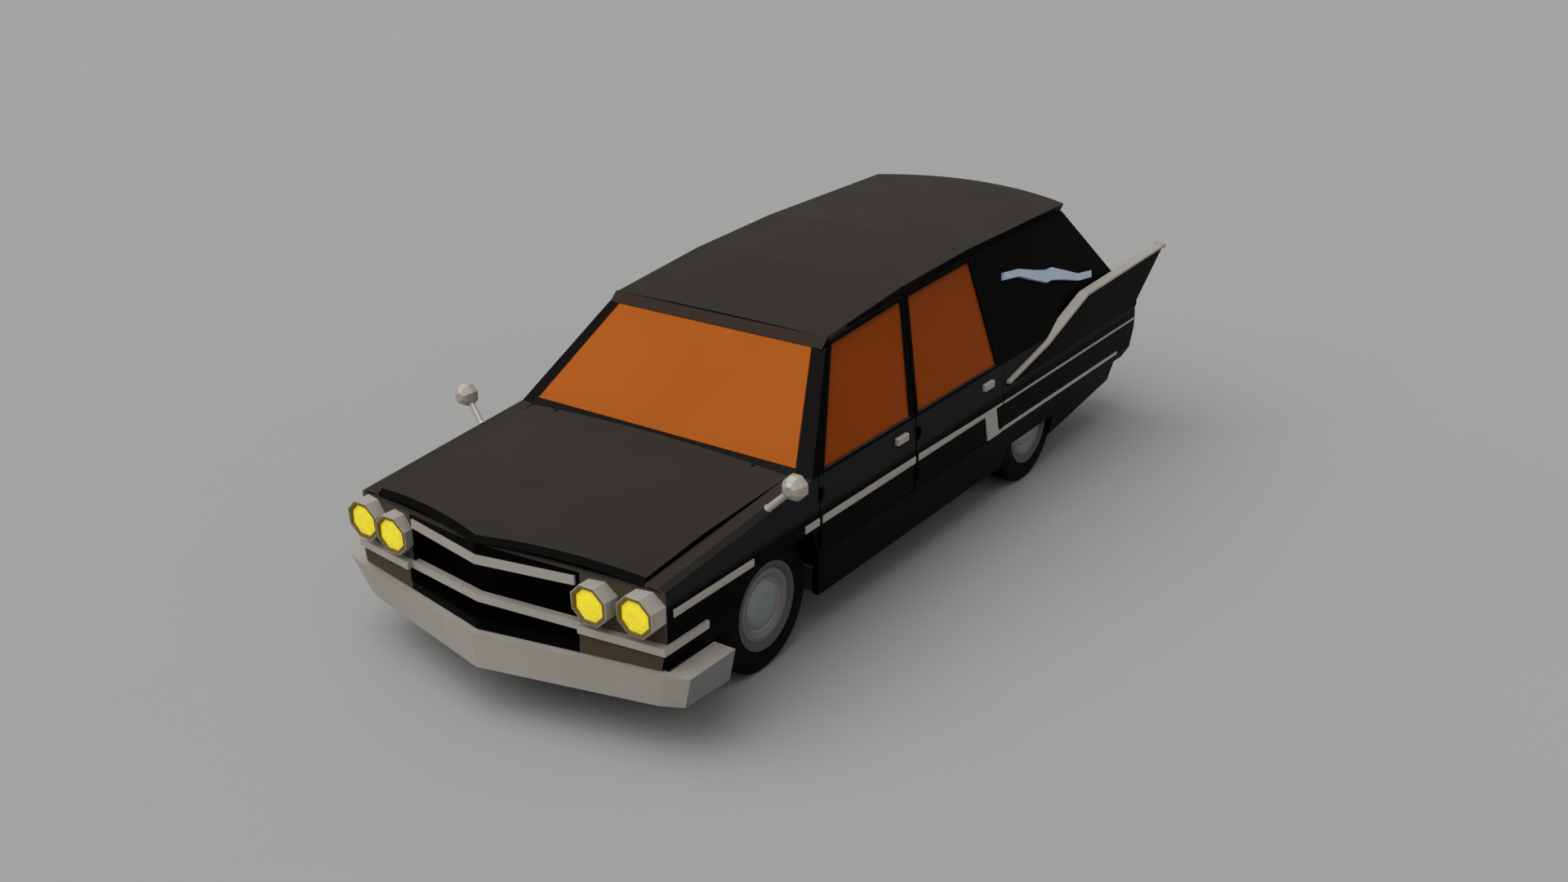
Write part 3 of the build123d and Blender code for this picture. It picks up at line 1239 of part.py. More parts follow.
# Fender mirrors: faceted cups on leaning stalks
MIRROR_X, MIRROR_Y, MIRROR_Z = FRONT_AXLE_X + 32, 1144, 1131
MIRROR_RADIUS = 70
MIRROR_FOOT = Vector(FRONT_AXLE_X + 63, 1002, 989)
with BuildPart() as mirrors:
    with BuildSketch(Plane.YZ.offset(MIRROR_X - 30)):
        with Locations((MIRROR_Y, MIRROR_Z)):
            RegularPolygon(MIRROR_RADIUS, 8, rotation=22.5)
    extrude(amount=36)
    with BuildSketch(Plane.YZ.offset(MIRROR_X + 6)):
        with Locations((MIRROR_Y, MIRROR_Z)):
            RegularPolygon(MIRROR_RADIUS, 8, rotation=22.5)
    extrude(amount=34, taper=26)
    with BuildSketch(Plane.YZ.offset(MIRROR_X + 40)):
        with Locations((MIRROR_Y, MIRROR_Z)):
            RegularPolygon(MIRROR_RADIUS - 19, 8, rotation=22.5)
    extrude(amount=16, taper=55)
    stalk = Vector(MIRROR_X - 6, MIRROR_Y, MIRROR_Z) - MIRROR_FOOT
    with BuildSketch(Plane(origin=MIRROR_FOOT, z_dir=stalk)):
        RegularPolygon(15, 8)
    extrude(amount=stalk.length - 30, taper=1)
    add(fender.part, mode=Mode.SUBTRACT)
    mirror(about=Plane.XZ)
save(mirrors, "mirrors")

# Landau bars: flat irons that swell at the middle and turn up and down at the ends
LANDAU_X, LANDAU_Z = DOOR_REAR_X - 895, 1340
LANDAU_THICK = 20
# Half outline on the leaning wall: distance back, distance up; the other half is turned end for end
LANDAU_HALF = (
    (-562, 111),
    (-530, 153),
    (-351, 132),
    (-166, 76),
    (-15, 39),
    (63, 38),
    (209, -20),
    (364, -84),
)
landau_plane = Plane(
    origin=(LANDAU_X, skin_y(LANDAU_Z), LANDAU_Z), x_dir=(-1, 0, 0), z_dir=(0, 1, GLASS_LEAN)
)
with BuildPart() as landau_bars:
    with BuildSketch(landau_plane):
        Polygon(*LANDAU_HALF, *[(-back, -up) for back, up in LANDAU_HALF], align=None)
    extrude(amount=LANDAU_THICK)
    mirror(about=Plane.XZ)
save(landau_bars, "landau_bars")

# Cabin: dashboard with column and wheel, bench seat and the casket deck with its rollers
COLUMN_Y = 430
DASH_X = FIREWALL_X - SHEET
rim_plane = Plane(origin=(DASH_X - 368, COLUMN_Y, 965), x_dir=(0, 1, 0), z_dir=(-1.7, 0, 1))
with BuildPart() as dashboard:
    with BuildSketch(Plane.XZ.offset(-885)):
        Polygon(
            (DASH_X, BELT_Z + 10),
            (DASH_X - 205, BELT_Z - 25),
            (DASH_X - 248, BELT_Z - 90),
            (DASH_X - 225, 760),
            (DASH_X, 735),
            align=None,
        )
    extrude(amount=1770)
    with BuildSketch(rim_plane):
        Circle(24)
    extrude(amount=-220)
    with BuildSketch(rim_plane):
        Rectangle(382, 26)
        Circle(52)
    extrude(amount=14)
    with Locations(rim_plane):
        Torus(195, 13)
save(dashboard, "dashboard")

SEAT_X = DECK_STEP_X + SHEET
with BuildPart() as front_seat:
    with BuildSketch(Plane.XZ.offset(-700)):
        Polygon(
            (SEAT_X + 130, FLOOR_Z + SHEET),
            (SEAT_X + 640, FLOOR_Z + SHEET),
            (SEAT_X + 690, 590),
            (SEAT_X + 715, 690),
            (SEAT_X + 690, 735),
            (SEAT_X + 240, 710),
            (SEAT_X + 130, 1120),
            (SEAT_X + 105, 1150),
            (SEAT_X + 50, 1150),
            (SEAT_X + 40, 1120),
            (SEAT_X + 110, 640),
            align=None,
        )
    extrude(amount=1400)
save(front_seat, "front_seat")

DECK_FRONT_X = DECK_STEP_X - 60
DECK_REAR_X = TAIL_PANEL_X + 60
DECK_HALF = 500
ROLLERS = 6
with BuildPart() as casket_deck:
    with Locations(((DECK_FRONT_X + DECK_REAR_X) / 2, 0, DECK_Z + 11)):
        Box(DECK_FRONT_X - DECK_REAR_X, 2 * DECK_HALF, 22)
    for side in (1, -1):
        with Locations(((DECK_FRONT_X + DECK_REAR_X) / 2, side * (DECK_HALF - 20), DECK_Z + 45)):
            Box(DECK_FRONT_X - DECK_REAR_X, 40, 46)
    step = (DECK_FRONT_X - DECK_REAR_X) / ROLLERS
    for i in range(ROLLERS):
        with BuildSketch(Plane.XZ.offset(-DECK_HALF + 30)):
            with Locations((DECK_REAR_X + (i + 0.5) * step, DECK_Z + 40)):
                Circle(22)
        extrude(amount=2 * DECK_HALF - 60)
save(casket_deck, "casket_deck")

# Tow eyes below the ends of the frame rails
EYE_RADIUS = 22
EYE_RIM = 18
EYE_WIDTH = 24
EYE_DROP = 78
EYES = ((RAIL_FRONT_X - 60, RAIL_LOW_Z), (RAIL_REAR_X + 60, FLOOR_Z + 80 - RAIL_HEIGHT))
with BuildPart() as tow_eyes:
    for x, z in EYES:
        with BuildSketch(Plane.XZ.offset(-RAIL_Y - EYE_WIDTH / 2)):
            with Locations((x, z - EYE_DROP)):
                Circle(EYE_RADIUS + EYE_RIM)
            with Locations((x, z - EYE_DROP / 2)):
                Rectangle(2 * (EYE_RADIUS + EYE_RIM), EYE_DROP)
            with Locations((x, z - EYE_DROP)):
                Circle(EYE_RADIUS, mode=Mode.SUBTRACT)
        extrude(amount=EYE_WIDTH)
    mirror(about=Plane.XZ)
save(tow_eyes, "tow_eyes")
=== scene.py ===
"""Looks of the finned hearse: paint, bright trim, glass, tyres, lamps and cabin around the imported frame."""
import math

import bmesh
import bpy
from mathutils import Matrix, Vector


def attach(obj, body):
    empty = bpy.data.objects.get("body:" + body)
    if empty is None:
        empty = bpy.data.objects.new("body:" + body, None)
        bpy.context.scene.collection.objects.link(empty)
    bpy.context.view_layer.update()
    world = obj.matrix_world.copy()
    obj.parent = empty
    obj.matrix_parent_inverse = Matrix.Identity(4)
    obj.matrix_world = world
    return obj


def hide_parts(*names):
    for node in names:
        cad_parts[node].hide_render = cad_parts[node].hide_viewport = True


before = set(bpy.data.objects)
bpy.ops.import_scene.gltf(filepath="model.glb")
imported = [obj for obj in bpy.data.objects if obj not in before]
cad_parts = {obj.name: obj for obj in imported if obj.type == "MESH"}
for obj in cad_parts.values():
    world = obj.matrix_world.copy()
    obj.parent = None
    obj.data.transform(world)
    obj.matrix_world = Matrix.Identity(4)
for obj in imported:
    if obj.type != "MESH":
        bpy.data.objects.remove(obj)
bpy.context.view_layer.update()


# Body shell: pressed steel panels in black lacquer, sprayed before the trim goes on and polished, with
# a warm tone on the faces that look up, the hood and the roof, that is dust and painted sheen, painted lamp
# glow on the front walls round the lamps, and a lighter painted sheen along the shoulders of the sides and on
# the front and side edges of the roof.
class Wire:
    """A node's output inside one material; arithmetic on it adds Math nodes."""

    def __init__(self, tree, socket):
        self.tree = tree
        self.socket = socket

    def node(self, kind, settings=None, inputs=None, output=0):
        """Adds a node: its settings first, then values or links for its sockets."""
        made = self.tree.nodes.new(kind)
        for key, value in (settings or {}).items():
            setattr(made, key, value)
        for key, value in (inputs or {}).items():
            if isinstance(value, Wire):
                self.tree.links.new(value.socket, made.inputs[key])
            else:
                made.inputs[key].default_value = value
        return Wire(self.tree, made.outputs[output])

    def math(self, operation, first, second=0.0):
        """Adds a Math node on one value or two."""
        return self.node("ShaderNodeMath", {"operation": operation}, {0: first, 1: second})

    def __add__(self, other):
        return self.math("ADD", self, other)

    def __sub__(self, other):
        return self.math("SUBTRACT", self, other)

    def __rsub__(self, other):
        return self.math("SUBTRACT", other, self)

    def __mul__(self, other):
        return self.math("MULTIPLY", self, other)

    def __lt__(self, other):
        return self.math("LESS_THAN", self, other)

    def __gt__(self, other):
        return self.math("GREATER_THAN", self, other)

    def __pow__(self, other):
        return self.math("POWER", self, other)

    def __abs__(self):
        return self.math("ABSOLUTE", self)

    __radd__ = __add__
    __rmul__ = __mul__

    def part(self, axis):
        """One coordinate of a vector: X, Y or Z."""
        return self.node("ShaderNodeSeparateXYZ", None, {"Vector": self}, axis)

    def mix(self, low, high):
        """Blend of two colours by this value, on the colour sockets of a Mix node."""
        colours = {
            key: colour if isinstance(colour, Wire) else (*colour, 1)
            for key, colour in ((6, low), (7, high))
        }
        return self.node("ShaderNodeMix", {"data_type": "RGBA"}, {0: self, **colours}, 2)


def new_finish(name, **surface):
    """A material with set numbers on its Principled sockets, and a wire on its Object coordinates."""
    finish = bpy.data.materials.new(name)
    finish.use_nodes = True
    shader = finish.node_tree.nodes["Principled BSDF"]
    for key, value in surface.items():
        shader.inputs[key.replace("_", " ")].default_value = value
    start = Wire(finish.node_tree, None)
    return finish, shader, start.node("ShaderNodeTexCoord", output="Object")


def feed(shader, **wires):
    """Links wires to a shader's sockets."""
    for key, wire in wires.items():
        wire.tree.links.new(wire.socket, shader.inputs[key.replace("_", " ")])


def grain(place, scale, detail=4.0):
    """Noise from 0 to 1 over the piece."""
    return place.node("ShaderNodeTexNoise", None, {"Vector": place, "Scale": scale, "Detail": detail})


def bumps(place, height, strength):
    """A normal that follows a height, up to a millimetre."""
    return place.node("ShaderNodeBump", None, {"Height": height, "Strength": strength, "Distance": 0.001})


def mottled(name, low, high, scale, rough, bump=0.0, bump_scale=200.0, **surface):
    """A finish whose colour and gloss wander between two values over the surface."""
    finish, shader, place = new_finish(name, **surface)
    spread = grain(place, scale)
    feed(shader, Base_Color=spread.mix(low, high), Roughness=rough[0] + spread * (rough[1] - rough[0]))
    if bump:
        feed(shader, Normal=bumps(place, grain(place, bump_scale, 2.0), bump))
    return finish


def dress(finish, *nodes):
    """Gives CAD nodes a finish."""
    for node in nodes:
        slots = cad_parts[node].data.materials
        slots.clear()
        slots.append(finish)


SIDES = (("left", 1), ("right", -1))
DEEP_BLACK = (0.0014, 0.0014, 0.0013)
# Lacquer colours: black, dust and painted sheen on top, painted lamp glow on the nose, painted sheen on the
# shoulders and the roof's edges.
TOP_DUST_AND_SHEEN = (0.0430, 0.0375, 0.0325)
NOSE_PAINTED_GLOW = (0.070, 0.057, 0.036)
SHOULDER_PAINTED_SHEEN = (0.0185, 0.0200, 0.0190)
ROOF_EDGE_PAINTED_SHEEN = (0.0430, 0.0295, 0.0220)
DUST_AND_SHEEN_LOW_Z = 0.70
SKIN_HALF = 1.030
NOSE_REAR_X, MOUTH_HALF = 2.60, 0.58
FACING_AHEAD, LEAST_LEAN = 0.9, 0.02
DUST_AND_SHEEN_POWER, SHEEN_RISE = 6.0, 25.0


def black_lacquer(name, sheen_colour, sheen_low, sheen_high, sheen_out, steepest):
    """Lacquer with dust and painted sheen on upper faces, and painted sheen on leaning ones between two
    heights.
    """
    finish, shader, place = new_finish(name, Specular_IOR_Level=0.015)
    along, across, height = [place.part(axis) for axis in "XYZ"]
    out = abs(across)
    normal = place.node("ShaderNodeTexCoord", output="Normal")
    ahead, facing = normal.part("X"), normal.part("Z")
    # Faces that look ahead on the nose's front walls beside the mouth get a warm tone: painted lamp glow.
    front = (ahead > FACING_AHEAD) * (along > NOSE_REAR_X) * (out > MOUTH_HALF)
    upward = place.math("MAXIMUM", facing, 0.0)
    # Faces that look up, above the height of the nose shelf, get a warm lighter tone: dust, and painted sheen
    # from the light above.
    upward_dust_and_sheen = upward**DUST_AND_SHEEN_POWER * (height > DUST_AND_SHEEN_LOW_Z) * (out < SKIN_HALF)
    patches = grain(place, 2.2)
    patchy_dust_and_sheen = upward_dust_and_sheen * (0.75 + 0.25 * patches)
    # Faces that lean up between two heights get a lighter band: painted sheen.
    leaning = (facing > LEAST_LEAN) * (facing < steepest) * (out > sheen_out) * (height < sheen_high)
    above = place.math("MAXIMUM", (height - sheen_low) * SHEEN_RISE, 0.0)
    rise = place.math("MINIMUM", above, 1.0)
    painted_shading = leaning * rise * (0.8 + 0.2 * patches)
    upper = painted_shading.mix(patchy_dust_and_sheen.mix(DEEP_BLACK, TOP_DUST_AND_SHEEN), sheen_colour)
    feed(
        shader,
        Base_Color=front.mix(upper, NOSE_PAINTED_GLOW),
        Roughness=0.30 + 0.14 * grain(place, 3.1) + 0.10 * upward_dust_and_sheen,
        Normal=bumps(place, grain(place, 260.0, 1.0), 0.02),
    )
    return finish


lacquer = black_lacquer(
    "black_lacquer", SHOULDER_PAINTED_SHEEN, sheen_low=0.805, sheen_high=1.030, sheen_out=0.99, steepest=0.30
)
dress(lacquer, "cowl", "nose", "hood", "fins", "tail_surround", "tailgate")
for side, _ in SIDES:
    dress(lacquer, f"body_side_{side}", f"door_front_{side}", f"door_rear_{side}", f"fender_{side}")
# The roof's leaning front and side edges take a warm lighter tone: painted sheen.
roof_lacquer = black_lacquer(
    "roof_lacquer", ROOF_EDGE_PAINTED_SHEEN, sheen_low=1.50, sheen_high=1.80, sheen_out=0.0, steepest=0.75
)
dress(roof_lacquer, "roof")


# Chassis and underside: rails, arms, axle and tank in satin black enamel, floor pan and aprons under
# rough sound-deadening tar, pipes, knuckles and tow eyes in bare mill steel, the engine in cast iron.
enamel = mottled(
    "chassis_enamel", (0.012, 0.012, 0.013), (0.030, 0.028, 0.026),
    scale=9.0, rough=(0.42, 0.62), bump=0.15, bump_scale=120.0,
)
tar = mottled(
    "underseal", (0.012, 0.012, 0.012), (0.032, 0.030, 0.028),
    scale=14.0, rough=(0.75, 0.95), bump=0.6, bump_scale=90.0,
)
mill_steel = mottled(
    "mill_steel", (0.16, 0.15, 0.14), (0.34, 0.33, 0.32),
    scale=18.0, rough=(0.35, 0.6), bump=0.1, bump_scale=240.0, Metallic=0.9,
)
iron = mottled(
    "cast_iron", (0.030, 0.030, 0.031), (0.075, 0.073, 0.070),
    scale=16.0, rough=(0.55, 0.8), bump=0.5, bump_scale=150.0, Metallic=0.4,
)
dress(enamel, "frame", "front_suspension", "rear_axle", "fuel_tank")
dress(tar, "floor_pan", "aprons")
dress(mill_steel, "exhaust", "tow_eyes", "knuckle_left", "knuckle_right")
dress(iron, "engine")


# Bright work: bumpers, grille bars, fin caps and mirrors in satin chrome plate over steel, warm and a
# little clouded with age, with the wrapped ends of the front bumper painted a darker grey, painted shade.
# The landau bars are plated brighter and colder.
PLATE_LOW, PLATE_HIGH = (0.42, 0.385, 0.335), (0.50, 0.465, 0.415)
PAINTED_END_SHADE, ENDS_FACING = (0.215, 0.226, 0.230), 0.7
chrome = mottled(
    "satin_chrome", PLATE_LOW, PLATE_HIGH,
    scale=5.0, rough=(0.42, 0.54), bump=0.01, bump_scale=300.0, Metallic=0.35,
)
dress(chrome, "bumper_rear", "grille_bars", "fin_caps", "mirrors")
end_shaded_chrome, shader, place = new_finish("end_shaded_chrome", Metallic=0.35)
clouds = grain(place, 5.0)
# Faces turned sideways, the bumper's wrapped ends, take a darker grey: painted shade.
sideways = abs(place.node("ShaderNodeTexCoord", output="Normal").part("Y")) > ENDS_FACING
painted_shading = sideways * (0.9 + 0.1 * clouds)
feed(
    shader,
    Base_Color=painted_shading.mix(clouds.mix(PLATE_LOW, PLATE_HIGH), PAINTED_END_SHADE),
    Roughness=0.42 + 0.12 * clouds,
    Normal=bumps(place, grain(place, 300.0, 2.0), 0.01),
)
dress(end_shaded_chrome, "bumper_front")
landau_plate = mottled(
    "landau_plate", (0.42, 0.53, 0.66), (0.52, 0.62, 0.74),
    scale=7.0, rough=(0.32, 0.45), bump=0.03, bump_scale=300.0, Metallic=0.35,
)
dress(landau_plate, "landau_bars")


# Glass: laminated panes tinted a deep amber and almost closed to view, the windshield in a lighter copy and
# the side windows and the loading door in a darker one: painted light and shade, as the windshield faces the
# sun. Rubber channels, made further down, hold the windshield and the door panes.
def amber(name, low, high):
    """Tinted pane with a slow drift of tint."""
    finish, shader, place = new_finish(name, Roughness=0.14, Alpha=0.96, Specular_IOR_Level=0.04)
    feed(shader, Base_Color=grain(place, 1.3, 2.0).mix(low, high))
    finish.surface_render_method = "BLENDED"
    return finish


dress(amber("amber_windshield", (0.37, 0.082, 0.004), (0.455, 0.112, 0.007)), "windshield")
# Darker copy of the tint for the side panes and the loading door: painted shade.
shaded_side_amber = amber("amber_side_glass", (0.26, 0.043, 0.0014), (0.31, 0.056, 0.0020))
dress(shaded_side_amber, "glass_tailgate")
for side, _ in SIDES:
    dress(shaded_side_amber, f"glass_front_{side}", f"glass_rear_{side}")


# Wheels: pressed steel discs bolted to the hubs, under a turned trim ring and a domed cap, each zone
# with its own plating and fine turning marks all over.
HUBS = (("front", 1.844), ("rear", -1.193))
TYRE_RADIUS = 0.385
WHEEL_Y = 0.8525
CAP_RADIUS = 0.150
RING_PLATE, CAP_PLATE = (0.205, 0.190, 0.184), (0.285, 0.315, 0.325)
TURNING_MARKS = 3200.0
for axle, hub_x in HUBS:
    finish, shader, place = new_finish(f"wheel_plate_{axle}", Metallic=0.55)
    reach = ((place.part("X") - hub_x) ** 2.0 + (place.part("Z") - TYRE_RADIUS) ** 2.0) ** 0.5
    cap = (reach < CAP_RADIUS) * (0.82 + 0.18 * grain(place, 22.0))
    turned = place.math("SINE", reach * TURNING_MARKS) * 0.5
    feed(
        shader,
        Base_Color=cap.mix(RING_PLATE, CAP_PLATE),
        Roughness=0.32 + 0.12 * grain(place, 30.0),
        Normal=bumps(place, turned, 0.05),
    )
    for side, _ in SIDES:
        dress(finish, f"wheel_{axle}_{side}")


# Tyres: cross-ply rubber moulded in one piece, with a grey band beside the rim, raised sidewall rings,
# and a road tread of five ribs cut into blocks.
def add_piece(name, mesh, body, slot, *finishes):
    """Makes a scene object of a bmesh and lets it ride on a body; the slot is not used."""
    data = bpy.data.meshes.new(name)
    mesh.to_mesh(data)
    mesh.free()
    piece = bpy.data.objects.new(name, data)
    bpy.context.scene.collection.objects.link(piece)
    for finish in finishes:
        data.materials.append(finish)
    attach(piece, body)
    return piece


def spin_round(mesh, outline, closed, centre, axis, steps):
    """Turns an outline once round an axis."""
    points = [mesh.verts.new(point) for point in outline]
    pairs = zip(points, points[1:] + points[:1] if closed else points[1:])
    edges = [mesh.edges.new(pair) for pair in pairs]
    bmesh.ops.spin(
        mesh,
        geom=points + edges,
        cent=centre,
        axis=axis,
        angle=2 * math.pi,
        steps=steps,
        use_merge=True,
    )
    bmesh.ops.remove_doubles(mesh, verts=mesh.verts[:], dist=0.00001)
    bmesh.ops.recalc_face_normals(mesh, faces=mesh.faces[:])


rubber = mottled(
    "tyre_rubber", (0.0016, 0.0018, 0.0022), (0.0045, 0.0048, 0.0054),
    scale=12.0, rough=(0.7, 0.86), bump=0.25, bump_scale=220.0, Specular_IOR_Level=0.06,
)
grey_wall = mottled(
    "grey_sidewall", (0.055, 0.062, 0.062), (0.075, 0.083, 0.083),
    scale=14.0, rough=(0.55, 0.7), bump=0.12, bump_scale=260.0,
)
RIB_FLOOR, GROOVE = 0.3785, 0.3710
BLOCKS_ROUND, BLOCK_GAP, BLOCK_HEIGHT = 72, 0.0022, 0.0060
GREY_INSIDE, GREY_OUTSIDE, GREY_OFFSET = 0.206, 0.252, 0.080
RIB_SLACK, RIB_FACING = 0.0012, 0.99
# Half section from bead to crown: radius, offset from the middle of the tread.
TYRE_SECTION = (
    (0.2060, 0.0790),
    (0.2080, 0.0868),
    (0.2510, 0.0970),
    (0.2560, 0.0974),
    (0.2575, 0.0958),
    (0.2640, 0.0962),
    (0.2655, 0.0974),
    (0.3160, 0.0974),
    (0.3200, 0.0962),
    (0.3290, 0.0962),
    (0.3640, 0.0888),
    (RIB_FLOOR - 0.0015, 0.0760),
    (RIB_FLOOR, 0.0555),
    (GROOVE, 0.0535),
    (GROOVE, 0.0475),
    (RIB_FLOOR, 0.0455),
    (RIB_FLOOR, 0.0200),
    (GROOVE, 0.0180),
    (GROOVE, 0.0125),
    (RIB_FLOOR, 0.0105),
)
section = [*TYRE_SECTION, *((r, -y) for r, y in reversed(TYRE_SECTION))]
for axle, hub_x in HUBS:
    for side, sign in SIDES:
        mesh = bmesh.new()
        outline = [(hub_x + r, sign * (WHEEL_Y + y), TYRE_RADIUS) for r, y in section]
        spin_round(mesh, outline, True, (hub_x, sign * WHEEL_Y, TYRE_RADIUS), (0, 1, 0), BLOCKS_ROUND)
        hub = Vector((hub_x, 0, TYRE_RADIUS))
        blocks = []
        for face in mesh.faces:
            face.smooth = True
            centre = face.calc_center_median()
            out = (centre - hub) * Vector((1, 0, 1))
            outward = abs(face.normal.dot(out.normalized()))
            if abs(out.length - RIB_FLOOR) < RIB_SLACK and outward > RIB_FACING:
                blocks.append(face)
            if GREY_INSIDE < out.length < GREY_OUTSIDE and abs(centre.y) > WHEEL_Y + GREY_OFFSET:
                face.material_index = 1
        bmesh.ops.inset_individual(
            mesh, faces=blocks, thickness=BLOCK_GAP, depth=BLOCK_HEIGHT, use_even_offset=True
        )
        for face in blocks:
            face.smooth = False
        name, body = f"tread_tyre_{axle}_{side}", f"wheel_{axle}_{side}_body"
        tyre = add_piece(name, mesh, body, "tyre", rubber, grey_wall)
        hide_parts(f"tyre_{axle}_{side}")


# Splash panels: pressed sheets under sound-deadening tar that hang from the floor behind the front
# wheels and close the wheel houses between the frame rails and the rockers.
SPLASH_LOW, SPLASH_HIGH = (1.372, 0.258), (1.421, 0.4293)
SPLASH_INNER, SPLASH_OUTER_LOW, SPLASH_OUTER_HIGH = 0.475, 0.932, 0.965
SPLASH_SHEET = 0.003
# Edge left round each pressing, then its slope in and down.
PRESSING_EDGE, PRESSING_SLOPE, PRESSING_DEPTH = 0.018, 0.006, 0.005
# Corners of the left panel, from its lower inner one round.
corners = (
    (SPLASH_LOW, SPLASH_INNER),
    (SPLASH_LOW, SPLASH_OUTER_LOW),
    (SPLASH_HIGH, SPLASH_OUTER_HIGH),
    (SPLASH_HIGH, SPLASH_INNER),
)
mesh = bmesh.new()
for _, sign in SIDES:
    sheet = mesh.faces.new([mesh.verts.new((x, sign * y, z)) for (x, z), y in corners])
    if sign < 0:
        sheet.normal_flip()
levels = [edge for edge in mesh.edges if edge.verts[0].co.z == edge.verts[1].co.z]
bmesh.ops.subdivide_edges(mesh, edges=levels, cuts=2, use_grid_fill=True)
panels = mesh.faces[:]
bmesh.ops.inset_individual(mesh, faces=panels, thickness=PRESSING_EDGE)
bmesh.ops.inset_individual(mesh, faces=panels, thickness=PRESSING_SLOPE, depth=-PRESSING_DEPTH)
bmesh.ops.solidify(mesh, geom=mesh.faces[:], thickness=SPLASH_SHEET)
bmesh.ops.recalc_face_normals(mesh, faces=mesh.faces[:])
add_piece("splash_panels", mesh, "body", "underside", tar)


# Skirt toes: sheet panels in body lacquer that carry the lower edge of the quarters forward over the
# rear tyres, welded to the ends of the skirts.
def draw_out(mesh, faces, way):
    """Extrudes faces along a vector; gives the vertices and the faces at the far end."""
    made = bmesh.ops.extrude_face_region(mesh, geom=faces)["geom"]
    ends = [item for item in made if isinstance(item, bmesh.types.BMVert)]
    bmesh.ops.translate(mesh, verts=ends, vec=way)
    return ends, [item for item in made if isinstance(item, bmesh.types.BMFace)]


TOE_OUTLINE = ((-2.341, 0.371), (-1.457, 0.239), (-1.452, 0.3945), (-1.583, 0.3945), (-1.587, 0.314))
SILL_Y, SILL_Z, SKIN_LEAN = 0.975, 0.255, 0.1928
TOE_SHEET = 0.012
mesh = bmesh.new()
for _, sign in SIDES:
    outline = [(x, sign * (SILL_Y + SKIN_LEAN * (z - SILL_Z)), z) for x, z in TOE_OUTLINE]
    skin = mesh.faces.new([mesh.verts.new(corner) for corner in outline])
    draw_out(mesh, [skin], (0, -sign * TOE_SHEET, 0))
bmesh.ops.recalc_face_normals(mesh, faces=mesh.faces[:])
add_piece("skirt_toes", mesh, "body", "paint", lacquer)


# Headlamp bezels: octagonal cups of plated sheet, cut at a rake so that the top shades the glass, and
# pushed back on to the swept front wall.
LAMP_Z = 0.786
# Distance from the middle of the car, front of the rim.
LAMPS = ((0.675, 2.939), (0.927, 2.902))
BEZEL_RADIUS, BEZEL_LENGTH, BEZEL_RIM, RIM_ROUND = 0.117, 0.100, 0.0175, 0.0018
BORE_DEPTH, BORE_TAPER = 0.044, 0.0004
NOSE_TIP_X, NOSE_SWEEP = 2.990, 0.197
RAKE, RAKE_BACK = 0.0727, 0.0075
# What tells the rim's edges: their angle, how they face ahead, and their distance from the wall.
SHARP, FACE_ON, CLEAR_OF_WALL = 1.2, 0.3, 0.05
FACING_FORWARD = Matrix.Rotation(math.radians(90), 4, "Y")
OCTAGON_TURN = FACING_FORWARD @ Matrix.Rotation(math.radians(22.5), 4, "Z")


def raised_octagon(mesh, centre, radius, length):
    """An octagonal block that stands forward from a centre; gives its back and front faces."""
    stand = Matrix.Translation(centre) @ OCTAGON_TURN
    ring = bmesh.ops.create_circle(mesh, cap_ends=True, radius=radius, segments=8, matrix=stand)
    back = ring["verts"][0].link_faces[0]
    if back.normal.x < 0:
        back.normal_flip()
    _, fronts = draw_out(mesh, [back], (length, 0, 0))
    return back, fronts[0]


def nose_wall_x(y):
    """Where the swept front wall stands at a distance from the middle of the car."""
    return NOSE_TIP_X - NOSE_SWEEP * abs(y)


mesh = bmesh.new()
for y, rim_x in LAMPS:
    for _, sign in SIDES:
        foot = (rim_x - BEZEL_LENGTH, sign * y, LAMP_Z)
        back, front = raised_octagon(mesh, foot, BEZEL_RADIUS, BEZEL_LENGTH)
        bmesh.ops.inset_individual(mesh, faces=[front], thickness=BEZEL_RIM)
        rim = {vert for edge in front.edges for face in edge.link_faces for vert in face.verts}
        bmesh.ops.inset_individual(mesh, faces=[front], thickness=BORE_TAPER, depth=-BORE_DEPTH)
        for vert in rim:
            vert.co.x = rim_x - RAKE_BACK + RAKE * (vert.co.z - LAMP_Z)
        for vert in back.verts:
            vert.co.x = nose_wall_x(vert.co.y)
bmesh.ops.recalc_face_normals(mesh, faces=mesh.faces[:])
rim_edges = [
    edge for edge in mesh.edges
    if edge.calc_face_angle(0) > SHARP and all(abs(vert.normal.x) > FACE_ON for vert in edge.verts)
    and min(vert.co.x - nose_wall_x(vert.co.y) for vert in edge.verts) > CLEAR_OF_WALL
]
bmesh.ops.bevel(
    mesh, geom=rim_edges, offset=RIM_ROUND, segments=2, profile=0.5, affect="EDGES", material=-1
)
bezels = add_piece("lamp_bezels", mesh, "body", "chrome", chrome)
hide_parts("headlamp_bezels")


# Headlamps: four octagonal glasses lit yellow, each domed and sunk in its bezel behind a retaining ring
# that laps over the rim; the ring and the glass's edging are painted olive, painted lamp glow on a shaded
# rim.
LENS_RADIUS, LENS_DEPTH, LENS_BACK = 0.0975, 0.011, 0.030
SEAL_WIDTH = 0.007
